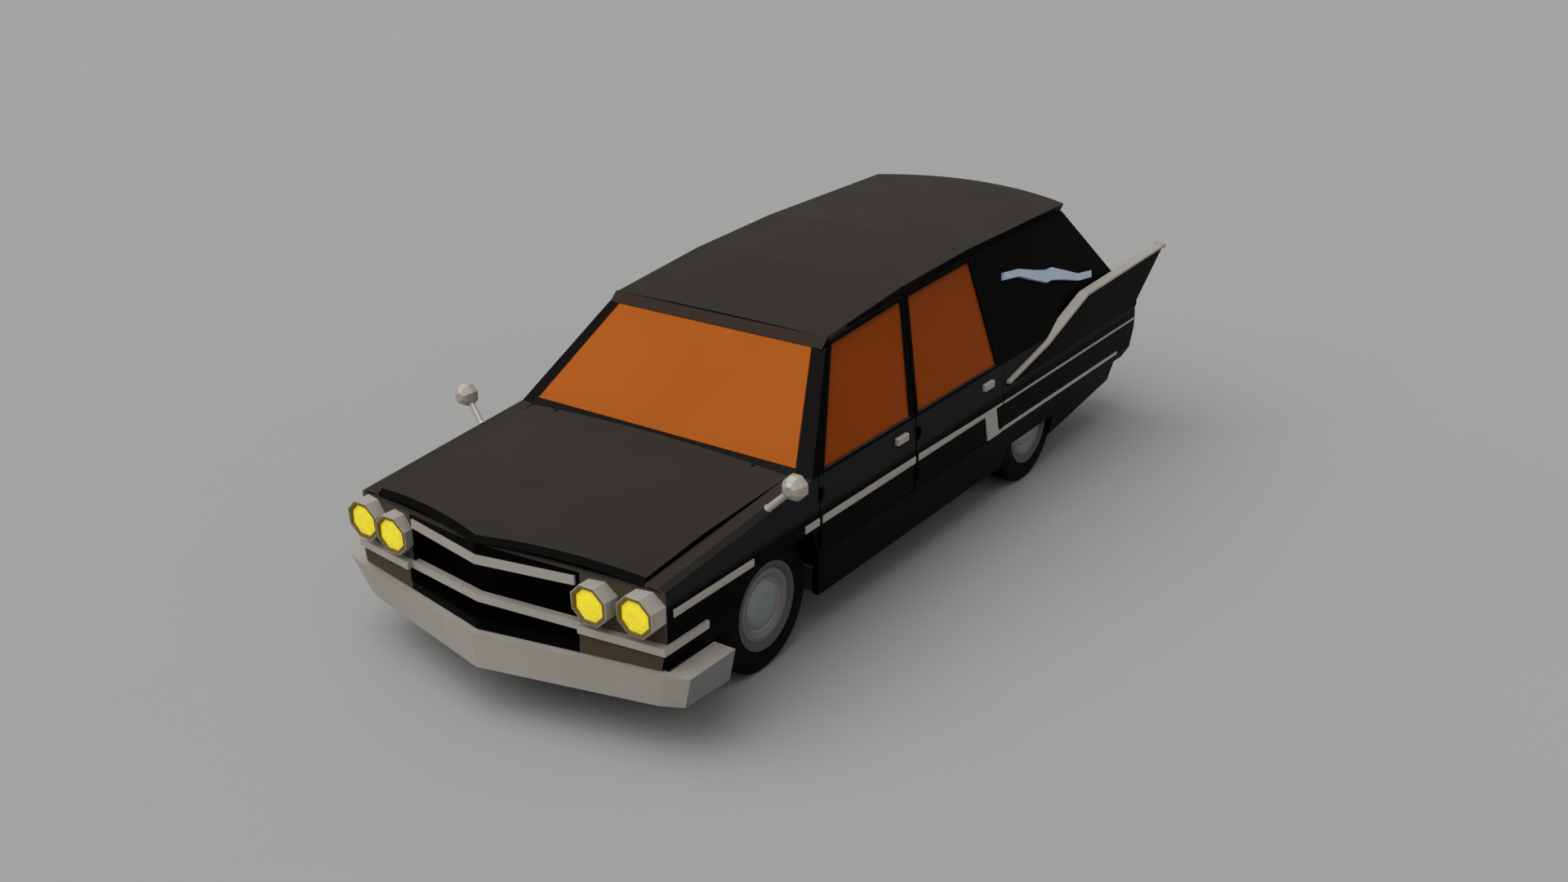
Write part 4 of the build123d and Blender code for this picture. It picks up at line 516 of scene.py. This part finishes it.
# Steps of the dome: how far in, how far forward.
DOME = ((0.024, 0.006), (0.030, 0.004))
LENS_RIDGES = 520.0
lit_glass, shader, place = new_finish("lit_yellow_glass", Roughness=0.25, Emission_Strength=0.5)
ridges = place.math("SINE", place.part("Y") * LENS_RIDGES)
glow = grain(place, 26.0, 2.0) * 0.6 + 0.25
feed(
    shader,
    Base_Color=glow.mix((0.42, 0.30, 0.004), (0.80, 0.66, 0.03)),
    Emission_Color=glow.mix((0.62, 0.50, 0.008), (0.88, 0.78, 0.03)),
    Normal=bumps(place, ridges, 0.2),
)
# Olive of the retaining ring and the glass's edging: painted lamp glow on a shaded rim.
glow_painted_ring = mottled(
    "lamp_ring_painted_glow", (0.14, 0.095, 0.010), (0.19, 0.130, 0.014),
    scale=30.0, rough=(0.5, 0.7), bump=0.1, bump_scale=200.0,
)
mesh = bmesh.new()
for y, rim_x in LAMPS:
    for _, sign in SIDES:
        foot = (rim_x - LENS_BACK, sign * y, LAMP_Z)
        back, top = raised_octagon(mesh, foot, LENS_RADIUS, LENS_DEPTH)
        bmesh.ops.delete(mesh, geom=[back], context="FACES_ONLY")
        edging = {face for edge in top.edges for face in edge.link_faces if face is not top}
        edging.update(bmesh.ops.inset_individual(mesh, faces=[top], thickness=SEAL_WIDTH)["faces"])
        for face in edging:
            face.material_index = 1
        for thickness, depth in DOME:
            bmesh.ops.inset_individual(mesh, faces=[top], thickness=thickness, depth=depth)
lenses = add_piece("lamp_glasses", mesh, "body", "lamp", lit_glass, glow_painted_ring)
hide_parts("headlamp_lenses")
# Section of the retaining ring: radius, distance ahead of the rim. What lies ahead of RAKED_FROM
# follows the rake of the bezel, and the two points behind it stay on the glass.
RETAINER = (
    (0.0935, -0.0192),
    (0.0960, -0.0066),
    (0.0985, -0.0056),
    (0.1105, -0.0060),
    (0.1118, -0.0070),
    (0.1118, -0.0085),
    (0.0974, -0.0085),
    (0.0974, -0.0192),
)
RAKED_FROM, RETAINER_REACH = -0.012, BEZEL_RADIUS + 0.01
CORNER = Vector((0, math.cos(math.radians(22.5)), math.sin(math.radians(22.5))))
mesh = bmesh.new()
for y, rim_x in LAMPS:
    for _, sign in SIDES:
        centre = Vector((rim_x, sign * y, LAMP_Z))
        outline = [centre + CORNER * r + Vector((ahead, 0, 0)) for r, ahead in RETAINER]
        spin_round(mesh, outline, True, centre, (1, 0, 0), steps=8)
        for vert in mesh.verts:
            away = vert.co - centre
            if away.length < RETAINER_REACH and away.x > RAKED_FROM:
                vert.co.x += RAKE * away.z
add_piece("lamp_retainers", mesh, "body", "lamp", glow_painted_ring)


# Side strips: rolled bright mouldings clipped along the fenders, doors and quarters, with a slanted
# drop at the back of the rear door where the line steps down.
STRIP_THICK, STRIP_SUNK, STRIP_ROUND = 0.012, 0.003, 0.0035


def side_moulding(name, body, corners, skin_y, sign):
    """A flat moulding seen from the side, laid on the skin and rounded along its edges."""
    mesh = bmesh.new()
    foot = mesh.faces.new([mesh.verts.new((x, sign * (skin_y - STRIP_SUNK), z)) for x, z in corners])
    tops, _ = draw_out(mesh, [foot], (0, sign * STRIP_THICK, 0))
    crests = [edge for edge in mesh.edges if all(vert in tops for vert in edge.verts)]
    bmesh.ops.bevel(
        mesh, geom=crests, offset=STRIP_ROUND, segments=2, profile=0.5, affect="EDGES", material=-1
    )
    bmesh.ops.recalc_face_normals(mesh, faces=mesh.faces[:])
    add_piece(name, mesh, body, "chrome", chrome)


def level(front, rear, low, high):
    """Corners of a level strip."""
    return [(front, low), (front, high), (rear, high), (rear, low)]


DOOR_STRIP_LOW, DOOR_STRIP_HIGH = 0.742, 0.784
UPPER_LOW, UPPER_HIGH, UPPER_END_LOW, UPPER_END_HIGH = 0.755, 0.769, 0.760, 0.774
LOWER_LOW, LOWER_HIGH = 0.566, 0.588
DOOR_REAR, QUARTER_FRONT, QUARTER_REAR = -0.602, -0.622, -2.645
FRONT_DOOR_STRIP = level(1.455, 0.482, DOOR_STRIP_LOW, DOOR_STRIP_HIGH)
STEP_STRIP = (
    (0.440, DOOR_STRIP_LOW),
    (0.440, DOOR_STRIP_HIGH),
    (-0.370, 0.771),
    (DOOR_REAR, UPPER_HIGH),
    (DOOR_REAR, UPPER_LOW),
    (-0.517, UPPER_LOW),
    (-0.561, LOWER_HIGH),
    (DOOR_REAR, LOWER_HIGH),
    (DOOR_REAR, LOWER_LOW),
    (-0.425, LOWER_LOW),
    (-0.376, DOOR_STRIP_LOW),
)
UPPER_STRIP = (
    (QUARTER_FRONT, UPPER_LOW),
    (QUARTER_FRONT, UPPER_HIGH),
    (QUARTER_REAR, UPPER_END_HIGH),
    (QUARTER_REAR, UPPER_END_LOW),
)
# Piece, body, outline in side view, half width of the skin there.
MOULDINGS = (
    ("fender_strip", "body", level(2.739, 2.088, 0.753, 0.793), 1.0395),
    ("cowl_strip", "body", level(1.621, 1.489, DOOR_STRIP_LOW, DOOR_STRIP_HIGH), 1.0395),
    ("front_door_strip", "door_front_{side}_body", FRONT_DOOR_STRIP, 1.0395),
    ("rear_door_strip", "door_rear_{side}_body", STEP_STRIP, 1.0370),
    ("quarter_upper_strip", "body", UPPER_STRIP, 1.0390),
    ("quarter_lower_strip", "body", level(QUARTER_FRONT, -2.375, LOWER_LOW, LOWER_HIGH), 1.0345),
)
for name, body, corners, skin_y in MOULDINGS:
    for side, sign in SIDES:
        side_moulding(f"{name}_{side}", body.format(side=side), corners, skin_y, sign)


# Door handles: cast and plated pulls with a round push button, bolted through the skin of each door
# over its grip block.
def rounded_box(mesh, centre, size, radius, segments=2):
    """A block with its edges rounded."""
    shape = Matrix.Translation(centre) @ Matrix.Diagonal((*size, 1))
    made = bmesh.ops.create_cube(mesh, size=1, matrix=shape)
    edges = dict.fromkeys(edge for vert in made["verts"] for edge in vert.link_edges)
    bmesh.ops.bevel(
        mesh, geom=list(edges), offset=radius, segments=segments, profile=0.5, affect="EDGES", material=-1
    )


def drum(mesh, stand, segments, low, high, depth):
    """A capped round block on its own upright axis, with a radius at its low end and at its high end."""
    bmesh.ops.create_cone(
        mesh, cap_ends=True, segments=segments, radius1=low, radius2=high, depth=depth, matrix=stand
    )


HANDLE_Z = 0.945
GRIP_Y, GRIP_SIZE, GRIP_ROUND = 1.0415, (0.116, 0.028, 0.045), 0.005
BUTTON_AHEAD, BUTTON_Y, BUTTON_RADIUS, BUTTON_DEPTH = 0.040, 1.0570, 0.009, 0.008
LYING_ACROSS = Matrix.Rotation(math.radians(90), 4, "X")
for name, handle_x in (("front", 0.639), ("rear", -0.398)):
    for side, sign in SIDES:
        mesh = bmesh.new()
        rounded_box(mesh, (handle_x, sign * GRIP_Y, HANDLE_Z), GRIP_SIZE, GRIP_ROUND, segments=3)
        button = Matrix.Translation((handle_x + BUTTON_AHEAD, sign * BUTTON_Y, HANDLE_Z)) @ LYING_ACROSS
        drum(mesh, button, 20, BUTTON_RADIUS, BUTTON_RADIUS, BUTTON_DEPTH)
        add_piece(f"{name}_handle_{side}", mesh, f"door_{name}_{side}_body", "chrome", chrome)


# Window seals: black rubber channel, mitred at the corners and pressed round the windshield and the
# four door windows.
seal_rubber = mottled(
    "seal_rubber", (0.004, 0.004, 0.004), (0.010, 0.010, 0.010),
    scale=20.0, rough=(0.6, 0.8), bump=0.2, bump_scale=300.0,
)


def seal_ring(name, body, corners, lift, width=0.013, thick=0.006):
    """A mitred channel round a flat pane, standing off it along a direction."""
    mesh = bmesh.new()
    pane = mesh.faces.new([mesh.verts.new(corner) for corner in corners])
    bmesh.ops.inset_individual(mesh, faces=[pane], thickness=width)
    bmesh.ops.delete(mesh, geom=[pane], context="FACES")
    draw_out(mesh, mesh.faces[:], Vector(lift).normalized() * thick)
    bmesh.ops.recalc_face_normals(mesh, faces=mesh.faces[:])
    add_piece(name, mesh, body, "trim_plastic", seal_rubber)


BELT_Y, BELT_Z, WINDOW_LEAN = 1.026, 1.017, 0.5
PANE_INSET = 0.0175
# Door, corners of its window in side view.
WINDOWS = (
    ("front", ((1.410, 1.032), (0.507, 1.032), (0.175, 1.591), (0.951, 1.552))),
    ("rear", ((0.424, 1.032), (-0.543, 1.032), (-0.667, 1.618), (0.097, 1.594))),
)
for name, window in WINDOWS:
    for side, sign in SIDES:
        corners = [(x, sign * (BELT_Y - WINDOW_LEAN * (z - BELT_Z) - PANE_INSET), z) for x, z in window]
        seal_ring(f"{name}_window_seal_{side}", f"door_{name}_{side}_body", corners, (0, sign, WINDOW_LEAN))
SHIELD_FOOT_X, SHIELD_FOOT_HALF, SHIELD_FOOT_Z = 1.5245, 0.914, 1.0515
SHIELD_HEAD_X, SHIELD_HEAD_HALF, SHIELD_HEAD_Z = 1.0335, 0.683, 1.5425
shield_corners = [
    (SHIELD_FOOT_X, -SHIELD_FOOT_HALF, SHIELD_FOOT_Z),
    (SHIELD_FOOT_X, SHIELD_FOOT_HALF, SHIELD_FOOT_Z),
    (SHIELD_HEAD_X, SHIELD_HEAD_HALF, SHIELD_HEAD_Z),
    (SHIELD_HEAD_X, -SHIELD_HEAD_HALF, SHIELD_HEAD_Z),
]
seal_ring("windshield_seal", "body", shield_corners, (1, 0, 1), width=0.016, thick=0.005)


# Fender mirrors: silvered glasses let into the backs of the plated cups, and faceted sleeves with a
# collar at each end drawn over the stalks.
silvered = mottled(
    "silvered_glass", (0.78, 0.80, 0.82), (0.86, 0.88, 0.89), scale=3.0, rough=(0.04, 0.08), Metallic=1.0
)
STALK_FOOT, STALK_HEAD = Vector((1.907, 1.002, 0.989)), Vector((1.870, 1.144, 1.131))
MIRROR_BACK_X, MIRROR_LOW, MIRROR_HIGH, MIRROR_THICK = 1.8453, 0.058, 0.061, 0.003
# Length along the stalk from, to, radius at each.
SLEEVE = ((0.000, 0.012, 0.0250, 0.0225), (0.010, 0.150, 0.0195, 0.0175), (0.138, 0.150, 0.0205, 0.0205))
mesh = bmesh.new()
for _, sign in SIDES:
    back = Matrix.Translation((MIRROR_BACK_X, sign * STALK_HEAD.y, STALK_HEAD.z)) @ OCTAGON_TURN
    drum(mesh, back, 8, MIRROR_LOW, MIRROR_HIGH, MIRROR_THICK)
add_piece("mirror_glasses", mesh, "body", "chrome", silvered)
mesh = bmesh.new()
for _, sign in SIDES:
    flip = Vector((1, sign, 1))
    foot, way = STALK_FOOT * flip, ((STALK_HEAD - STALK_FOOT) * flip).normalized()
    turn = way.to_track_quat("Z", "Y").to_matrix().to_4x4()
    for start, end, low, high in SLEEVE:
        drum(mesh, Matrix.Translation(foot + way * (start + end) / 2) @ turn, 8, low, high, end - start)
add_piece("mirror_sleeves", mesh, "body", "chrome", chrome)


# Bench seat: a sprung cushion and a backrest across the car, stuffed and sewn in channels under brown
# leather, on a plinth screwed to the floor.
leather = mottled(
    "bench_leather", (0.045, 0.032, 0.024), (0.085, 0.060, 0.045),
    scale=10.0, rough=(0.45, 0.65), bump=0.35, bump_scale=380.0,
)
ROWS_ACROSS, CORNER_POWER = 16, 7
WAIST, FILL = 0.012, 0.7
# Share of the length past which a seam runs on over the far edge, and the share of its depth there.
EDGE_FROM, EDGE_SEAM = 0.4, 0.6


def pleated(name, size, stand, crown, seam):
    """A stuffed block, full in the middle, with sewn channels across its upper face."""
    mesh = bmesh.new()
    bmesh.ops.create_cube(mesh, size=2)
    bmesh.ops.subdivide_edges(mesh, edges=mesh.edges[:], cuts=ROWS_ACROSS - 1, use_grid_fill=True)
    for vert in mesh.verts:
        row = round((vert.co.y + 1) * ROWS_ACROSS / 2)
        sewn = row % 2 == 0 and 0 < row < ROWS_ACROSS
        swell = sum(abs(part) ** CORNER_POWER for part in vert.co) ** (1 / CORNER_POWER)
        vert.co /= swell
        full = (1 - vert.co.x**2) * (1 - vert.co.y**6)
        vert.co.y *= 1 - WAIST * (1 - vert.co.x**2)
        vert.co = Vector([part * span / 2 for part, span in zip(vert.co, size)])
        if vert.co.z > 0:
            vert.co.z += crown * full - (seam if sewn else 0)
        if vert.co.x > EDGE_FROM * size[0] and sewn:
            vert.co.x -= seam * EDGE_SEAM
    bmesh.ops.transform(mesh, matrix=stand, verts=mesh.verts[:])
    bmesh.ops.recalc_face_normals(mesh, faces=mesh.faces[:])
    for face in mesh.faces:
        face.smooth = True
    piece = add_piece(name, mesh, "body", "seat", leather)
    rounder = piece.modifiers.new("rounder", "SUBSURF")
    rounder.levels = rounder.render_levels = 1


cushion_stand = Matrix.Translation((0.722, 0, 0.652)) @ Matrix.Rotation(math.radians(-3), 4, "Y")
pleated("bench_cushion", (0.48, 1.39, 0.130), cushion_stand, crown=0.014, seam=0.010)
back_lean = Matrix.Rotation(math.radians(-11), 4, "Y") @ FACING_FORWARD
back_stand = Matrix.Translation((0.396, 0, 0.890)) @ back_lean
pleated("bench_back", (0.50, 1.39, 0.088), back_stand, crown=0.012, seam=0.009)
mesh = bmesh.new()
rounded_box(mesh, centre=(0.655, 0, 0.514), size=(0.50, 1.36, 0.144), radius=0.012)
plinth = add_piece("bench_plinth", mesh, "body", "seat", leather)
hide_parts("front_seat")


# Dashboard: padded plastic moulding screwed across the cowl, with two round dials in bright rims ahead
# of the wheel and a glove-box lid with a finger pull on the other side.
dash_plastic = mottled(
    "dash_plastic", (0.020, 0.019, 0.018), (0.040, 0.037, 0.034),
    scale=8.0, rough=(0.5, 0.7), bump=0.2, bump_scale=420.0,
)
dress(dash_plastic, "dashboard")
dial_face = mottled("dial_face", (0.55, 0.53, 0.46), (0.66, 0.64, 0.56), scale=40.0, rough=(0.4, 0.5))
DIAL_X, DIAL_Z, DIALS_Y = 1.149, 0.852, (0.34, 0.52)
DIAL_TILT = Matrix.Rotation(math.radians(-97.8), 4, "Y")
DIAL_RIM_LOW, DIAL_RIM_HIGH, DIAL_RIM_DEPTH = 0.062, 0.055, 0.016
DIAL_RADIUS, DIAL_PROUD = 0.050, 0.0085
NEEDLE_TURN = Matrix.Rotation(0.7, 4, "Z") @ Matrix.Translation((0, 0.016, 0.0015))
NEEDLE_SIZE = (0.003, 0.05, 0.001)
LID_Y = -0.40
mesh = bmesh.new()
marks = bmesh.new()
for y in DIALS_Y:
    stand = Matrix.Translation((DIAL_X, y, DIAL_Z)) @ DIAL_TILT
    drum(mesh, stand, 32, DIAL_RIM_LOW, DIAL_RIM_HIGH, DIAL_RIM_DEPTH)
    face = stand @ Matrix.Translation((0, 0, DIAL_PROUD))
    bmesh.ops.create_circle(marks, cap_ends=True, segments=32, radius=DIAL_RADIUS, matrix=face)
    needle = face @ NEEDLE_TURN @ Matrix.Diagonal((*NEEDLE_SIZE, 1))
    bmesh.ops.create_cube(marks, size=1, matrix=needle)
add_piece("dial_rims", mesh, "body", "chrome", chrome)
add_piece("dial_faces", marks, "body", "trim_plastic", dial_face)
mesh = bmesh.new()
rounded_box(mesh, centre=(1.150, LID_Y, 0.850), size=(0.010, 0.42, 0.120), radius=0.003)
rounded_box(mesh, centre=(1.143, LID_Y, 0.885), size=(0.012, 0.05, 0.014), radius=0.003)
add_piece("glove_box_lid", mesh, "body", "trim_plastic", dash_plastic)


# Door cards: boards covered in pleated leather, clipped to the inside of each door, with a padded
# armrest screwed on.
PLEATS, PLEAT_GAP = 8, 0.002
CARD_Y, CARD_Z, CARD_THICK, CARD_HEIGHT = 0.9725, 0.790, 0.012, 0.330
ARMREST_BACK, ARMREST_Y, ARMREST_Z, ARMREST_SIZE = 0.05, 0.940, 0.800, (0.360, 0.062, 0.052)
# Door, front and rear ends of the card.
CARDS = (("front", 1.360, 0.600), ("rear", 0.340, -0.480))
for name, front, rear in CARDS:
    width = (front - rear) / PLEATS
    for side, sign in SIDES:
        mesh = bmesh.new()
        for pleat in range(PLEATS):
            middle = (rear + (pleat + 0.5) * width, sign * CARD_Y, CARD_Z)
            rounded_box(mesh, middle, (width - PLEAT_GAP, CARD_THICK, CARD_HEIGHT), radius=0.004)
        armrest = ((front + rear) / 2 - ARMREST_BACK, sign * ARMREST_Y, ARMREST_Z)
        rounded_box(mesh, armrest, ARMREST_SIZE, radius=0.015, segments=3)
        add_piece(f"{name}_door_card_{side}", mesh, f"door_{name}_{side}_body", "seat", leather)


# Casket deck: varnished walnut bed over the rear floor, with bare steel rails screwed along it and
# sleeves of the same steel on its rollers.
walnut, shader, place = new_finish("walnut", Coat_Weight=0.25)
along = place.node("ShaderNodeMapping", None, {"Vector": place, "Scale": (1.2, 14.0, 14.0)})
streak = grain(along, 3.0, 6.0)
feed(shader, Base_Color=streak.mix((0.07, 0.030, 0.012), (0.23, 0.115, 0.05)), Roughness=0.28 + 0.2 * streak)
dress(walnut, "casket_deck")
DECK_REAR, DECK_FRONT, ROLLERS = -2.3878, 0.190, 6
ROLLER_Z, ROLLER_RADIUS, ROLLER_LENGTH = 0.652, 0.0232, 0.90
RAIL_Y, RAIL_Z, RAIL_WIDTH, RAIL_THICK, RAIL_SHORT = 0.480, 0.6815, 0.030, 0.004, 0.02
deck_length = DECK_FRONT - DECK_REAR
mesh = bmesh.new()
for roller in range(ROLLERS):
    roller_x = DECK_REAR + (roller + 0.5) * deck_length / ROLLERS
    stand = Matrix.Translation((roller_x, 0, ROLLER_Z)) @ LYING_ACROSS
    drum(mesh, stand, 28, ROLLER_RADIUS, ROLLER_RADIUS, ROLLER_LENGTH)
for _, sign in SIDES:
    rail_middle = ((DECK_FRONT + DECK_REAR) / 2, sign * RAIL_Y, RAIL_Z)
    rounded_box(mesh, rail_middle, (deck_length - RAIL_SHORT, RAIL_WIDTH, RAIL_THICK), radius=0.0012)
add_piece("deck_rollers", mesh, "body", "steel", mill_steel)


# Engine dressing: a round air cleaner of pressed sheet on its neck and two ribbed rocker covers, all
# enamelled black and bolted on the block, and in bare steel the fan and the radiator's filler cap.
ENGINE_X = 1.964
# Section of the air cleaner from the middle out: radius, height.
AIR_CLEANER = (
    (0.0, 0.935),
    (0.012, 0.935),
    (0.012, 0.925),
    (0.150, 0.922),
    (0.168, 0.912),
    (0.172, 0.866),
    (0.160, 0.852),
    (0.070, 0.850),
    (0.060, 0.829),
)
COVER_Y, COVER_Z, COVER_SIZE = 0.190, 0.852, (0.640, 0.085, 0.046)
RIBS, RIB_PITCH, RIB_Z, RIB_SIZE = 7, 0.08, 0.876, (0.012, 0.070, 0.006)
mesh = bmesh.new()
outline = [(ENGINE_X + r, 0, z) for r, z in AIR_CLEANER]
spin_round(mesh, outline, False, (ENGINE_X, 0, 0), (0, 0, 1), steps=48)
for _, sign in SIDES:
    rounded_box(mesh, (ENGINE_X, sign * COVER_Y, COVER_Z), COVER_SIZE, radius=0.014, segments=3)
    for rib in range(RIBS):
        rib_x = ENGINE_X + (rib - (RIBS - 1) / 2) * RIB_PITCH
        rounded_box(mesh, (rib_x, sign * COVER_Y, RIB_Z), RIB_SIZE, radius=0.002, segments=1)
add_piece("engine_dressing", mesh, "body", "engine", enamel)
FAN_CENTRE, BLADES, BLADE_PITCH = (2.385, 0, 0.640), 5, math.radians(24)
BLADE_OUT, BLADE_AHEAD, BLADE_SIZE = 0.115, 0.025, (0.160, 0.075, 0.003)
mesh = bmesh.new()
hub = Matrix.Translation(FAN_CENTRE) @ FACING_FORWARD
drum(mesh, hub, segments=24, low=0.045, high=0.040, depth=0.086)
for blade in range(BLADES):
    root = hub @ Matrix.Rotation(math.radians(360 / BLADES * blade), 4, "Z")
    pose = root @ Matrix.Translation((BLADE_OUT, 0, BLADE_AHEAD)) @ Matrix.Rotation(BLADE_PITCH, 4, "X")
    bmesh.ops.create_cube(mesh, size=1, matrix=pose @ Matrix.Diagonal((*BLADE_SIZE, 1)))
filler = Matrix.Translation((2.644, 0.12, 0.905))
drum(mesh, filler, segments=24, low=0.030, high=0.026, depth=0.022)
add_piece("cooling_fan", mesh, "body", "steel", mill_steel)


# Tail: round ruby glasses in turned and plated bezels on the ends of the quarters, two a side, and the
# cast pull bolted to the loading door.
ruby, shader, place = new_finish("ruby_glass", Roughness=0.18)
feed(shader, Base_Color=grain(place, 30.0, 2.0).mix((0.20, 0.004, 0.003), (0.36, 0.012, 0.008)))
dress(ruby, "tail_lamps")
TAIL_LAMP_Y, TAIL_LAMPS_Z = 0.912, (0.660, 0.785)
# Section of the bezel from the glass out: radius, place along the car.
TAIL_BEZEL = ((0.0505, -2.6395), (0.0505, -2.652), (0.054, -2.656), (0.060, -2.654), (0.064, -2.6395))
mesh = bmesh.new()
for _, sign in SIDES:
    for z in TAIL_LAMPS_Z:
        outline = [(x, sign * TAIL_LAMP_Y + r, z) for r, x in TAIL_BEZEL]
        spin_round(mesh, outline, False, (0, sign * TAIL_LAMP_Y, z), (1, 0, 0), steps=36)
add_piece("tail_lamp_bezels", mesh, "body", "chrome", chrome)
mesh = bmesh.new()
rounded_box(mesh, centre=(-2.6555, 0, 0.900), size=(0.054, 0.158, 0.033), radius=0.007, segments=3)
add_piece("gate_pull", mesh, "tailgate_body", "chrome", chrome)


# The studio: a plain grey floor under an even sky, with one broad soft sun high over the front, and the
# camera where the photograph's stood.
floor_paint = mottled(
    "studio_floor", (0.345, 0.345, 0.342), (0.360, 0.360, 0.356), scale=0.4, rough=(0.85, 0.95)
)
mesh = bmesh.new()
bmesh.ops.create_grid(mesh, x_segments=1, y_segments=1, size=60)
data = bpy.data.meshes.new("floor")
mesh.to_mesh(data)
mesh.free()
data.materials.append(floor_paint)
floor = bpy.data.objects.new("floor", data)
bpy.context.scene.collection.objects.link(floor)

world = bpy.data.worlds.new("studio")
world.use_nodes = True
world.node_tree.nodes["Background"].inputs["Color"].default_value = (1.0, 0.995, 0.985, 1)
world.node_tree.nodes["Background"].inputs["Strength"].default_value = 0.4
bpy.context.scene.world = world

light = bpy.data.lights.new("overhead", "SUN")
light.energy = 2.2
light.angle = math.radians(70)
lamp = bpy.data.objects.new("overhead", light)
lamp.rotation_euler = (math.radians(12), math.radians(28), 0)
bpy.context.scene.collection.objects.link(lamp)

lens = bpy.data.cameras.new("camera")
lens.lens = 37.47
lens.sensor_width = 36
lens.clip_end = 300
camera = bpy.data.objects.new("camera", lens)
camera.location = (8.045, 5.346, 4.532)
camera.rotation_euler = (math.radians(67.157), 0, math.radians(124.655))
bpy.context.scene.collection.objects.link(camera)
bpy.context.scene.camera = camera
bpy.context.scene.view_settings.view_transform = "Standard"
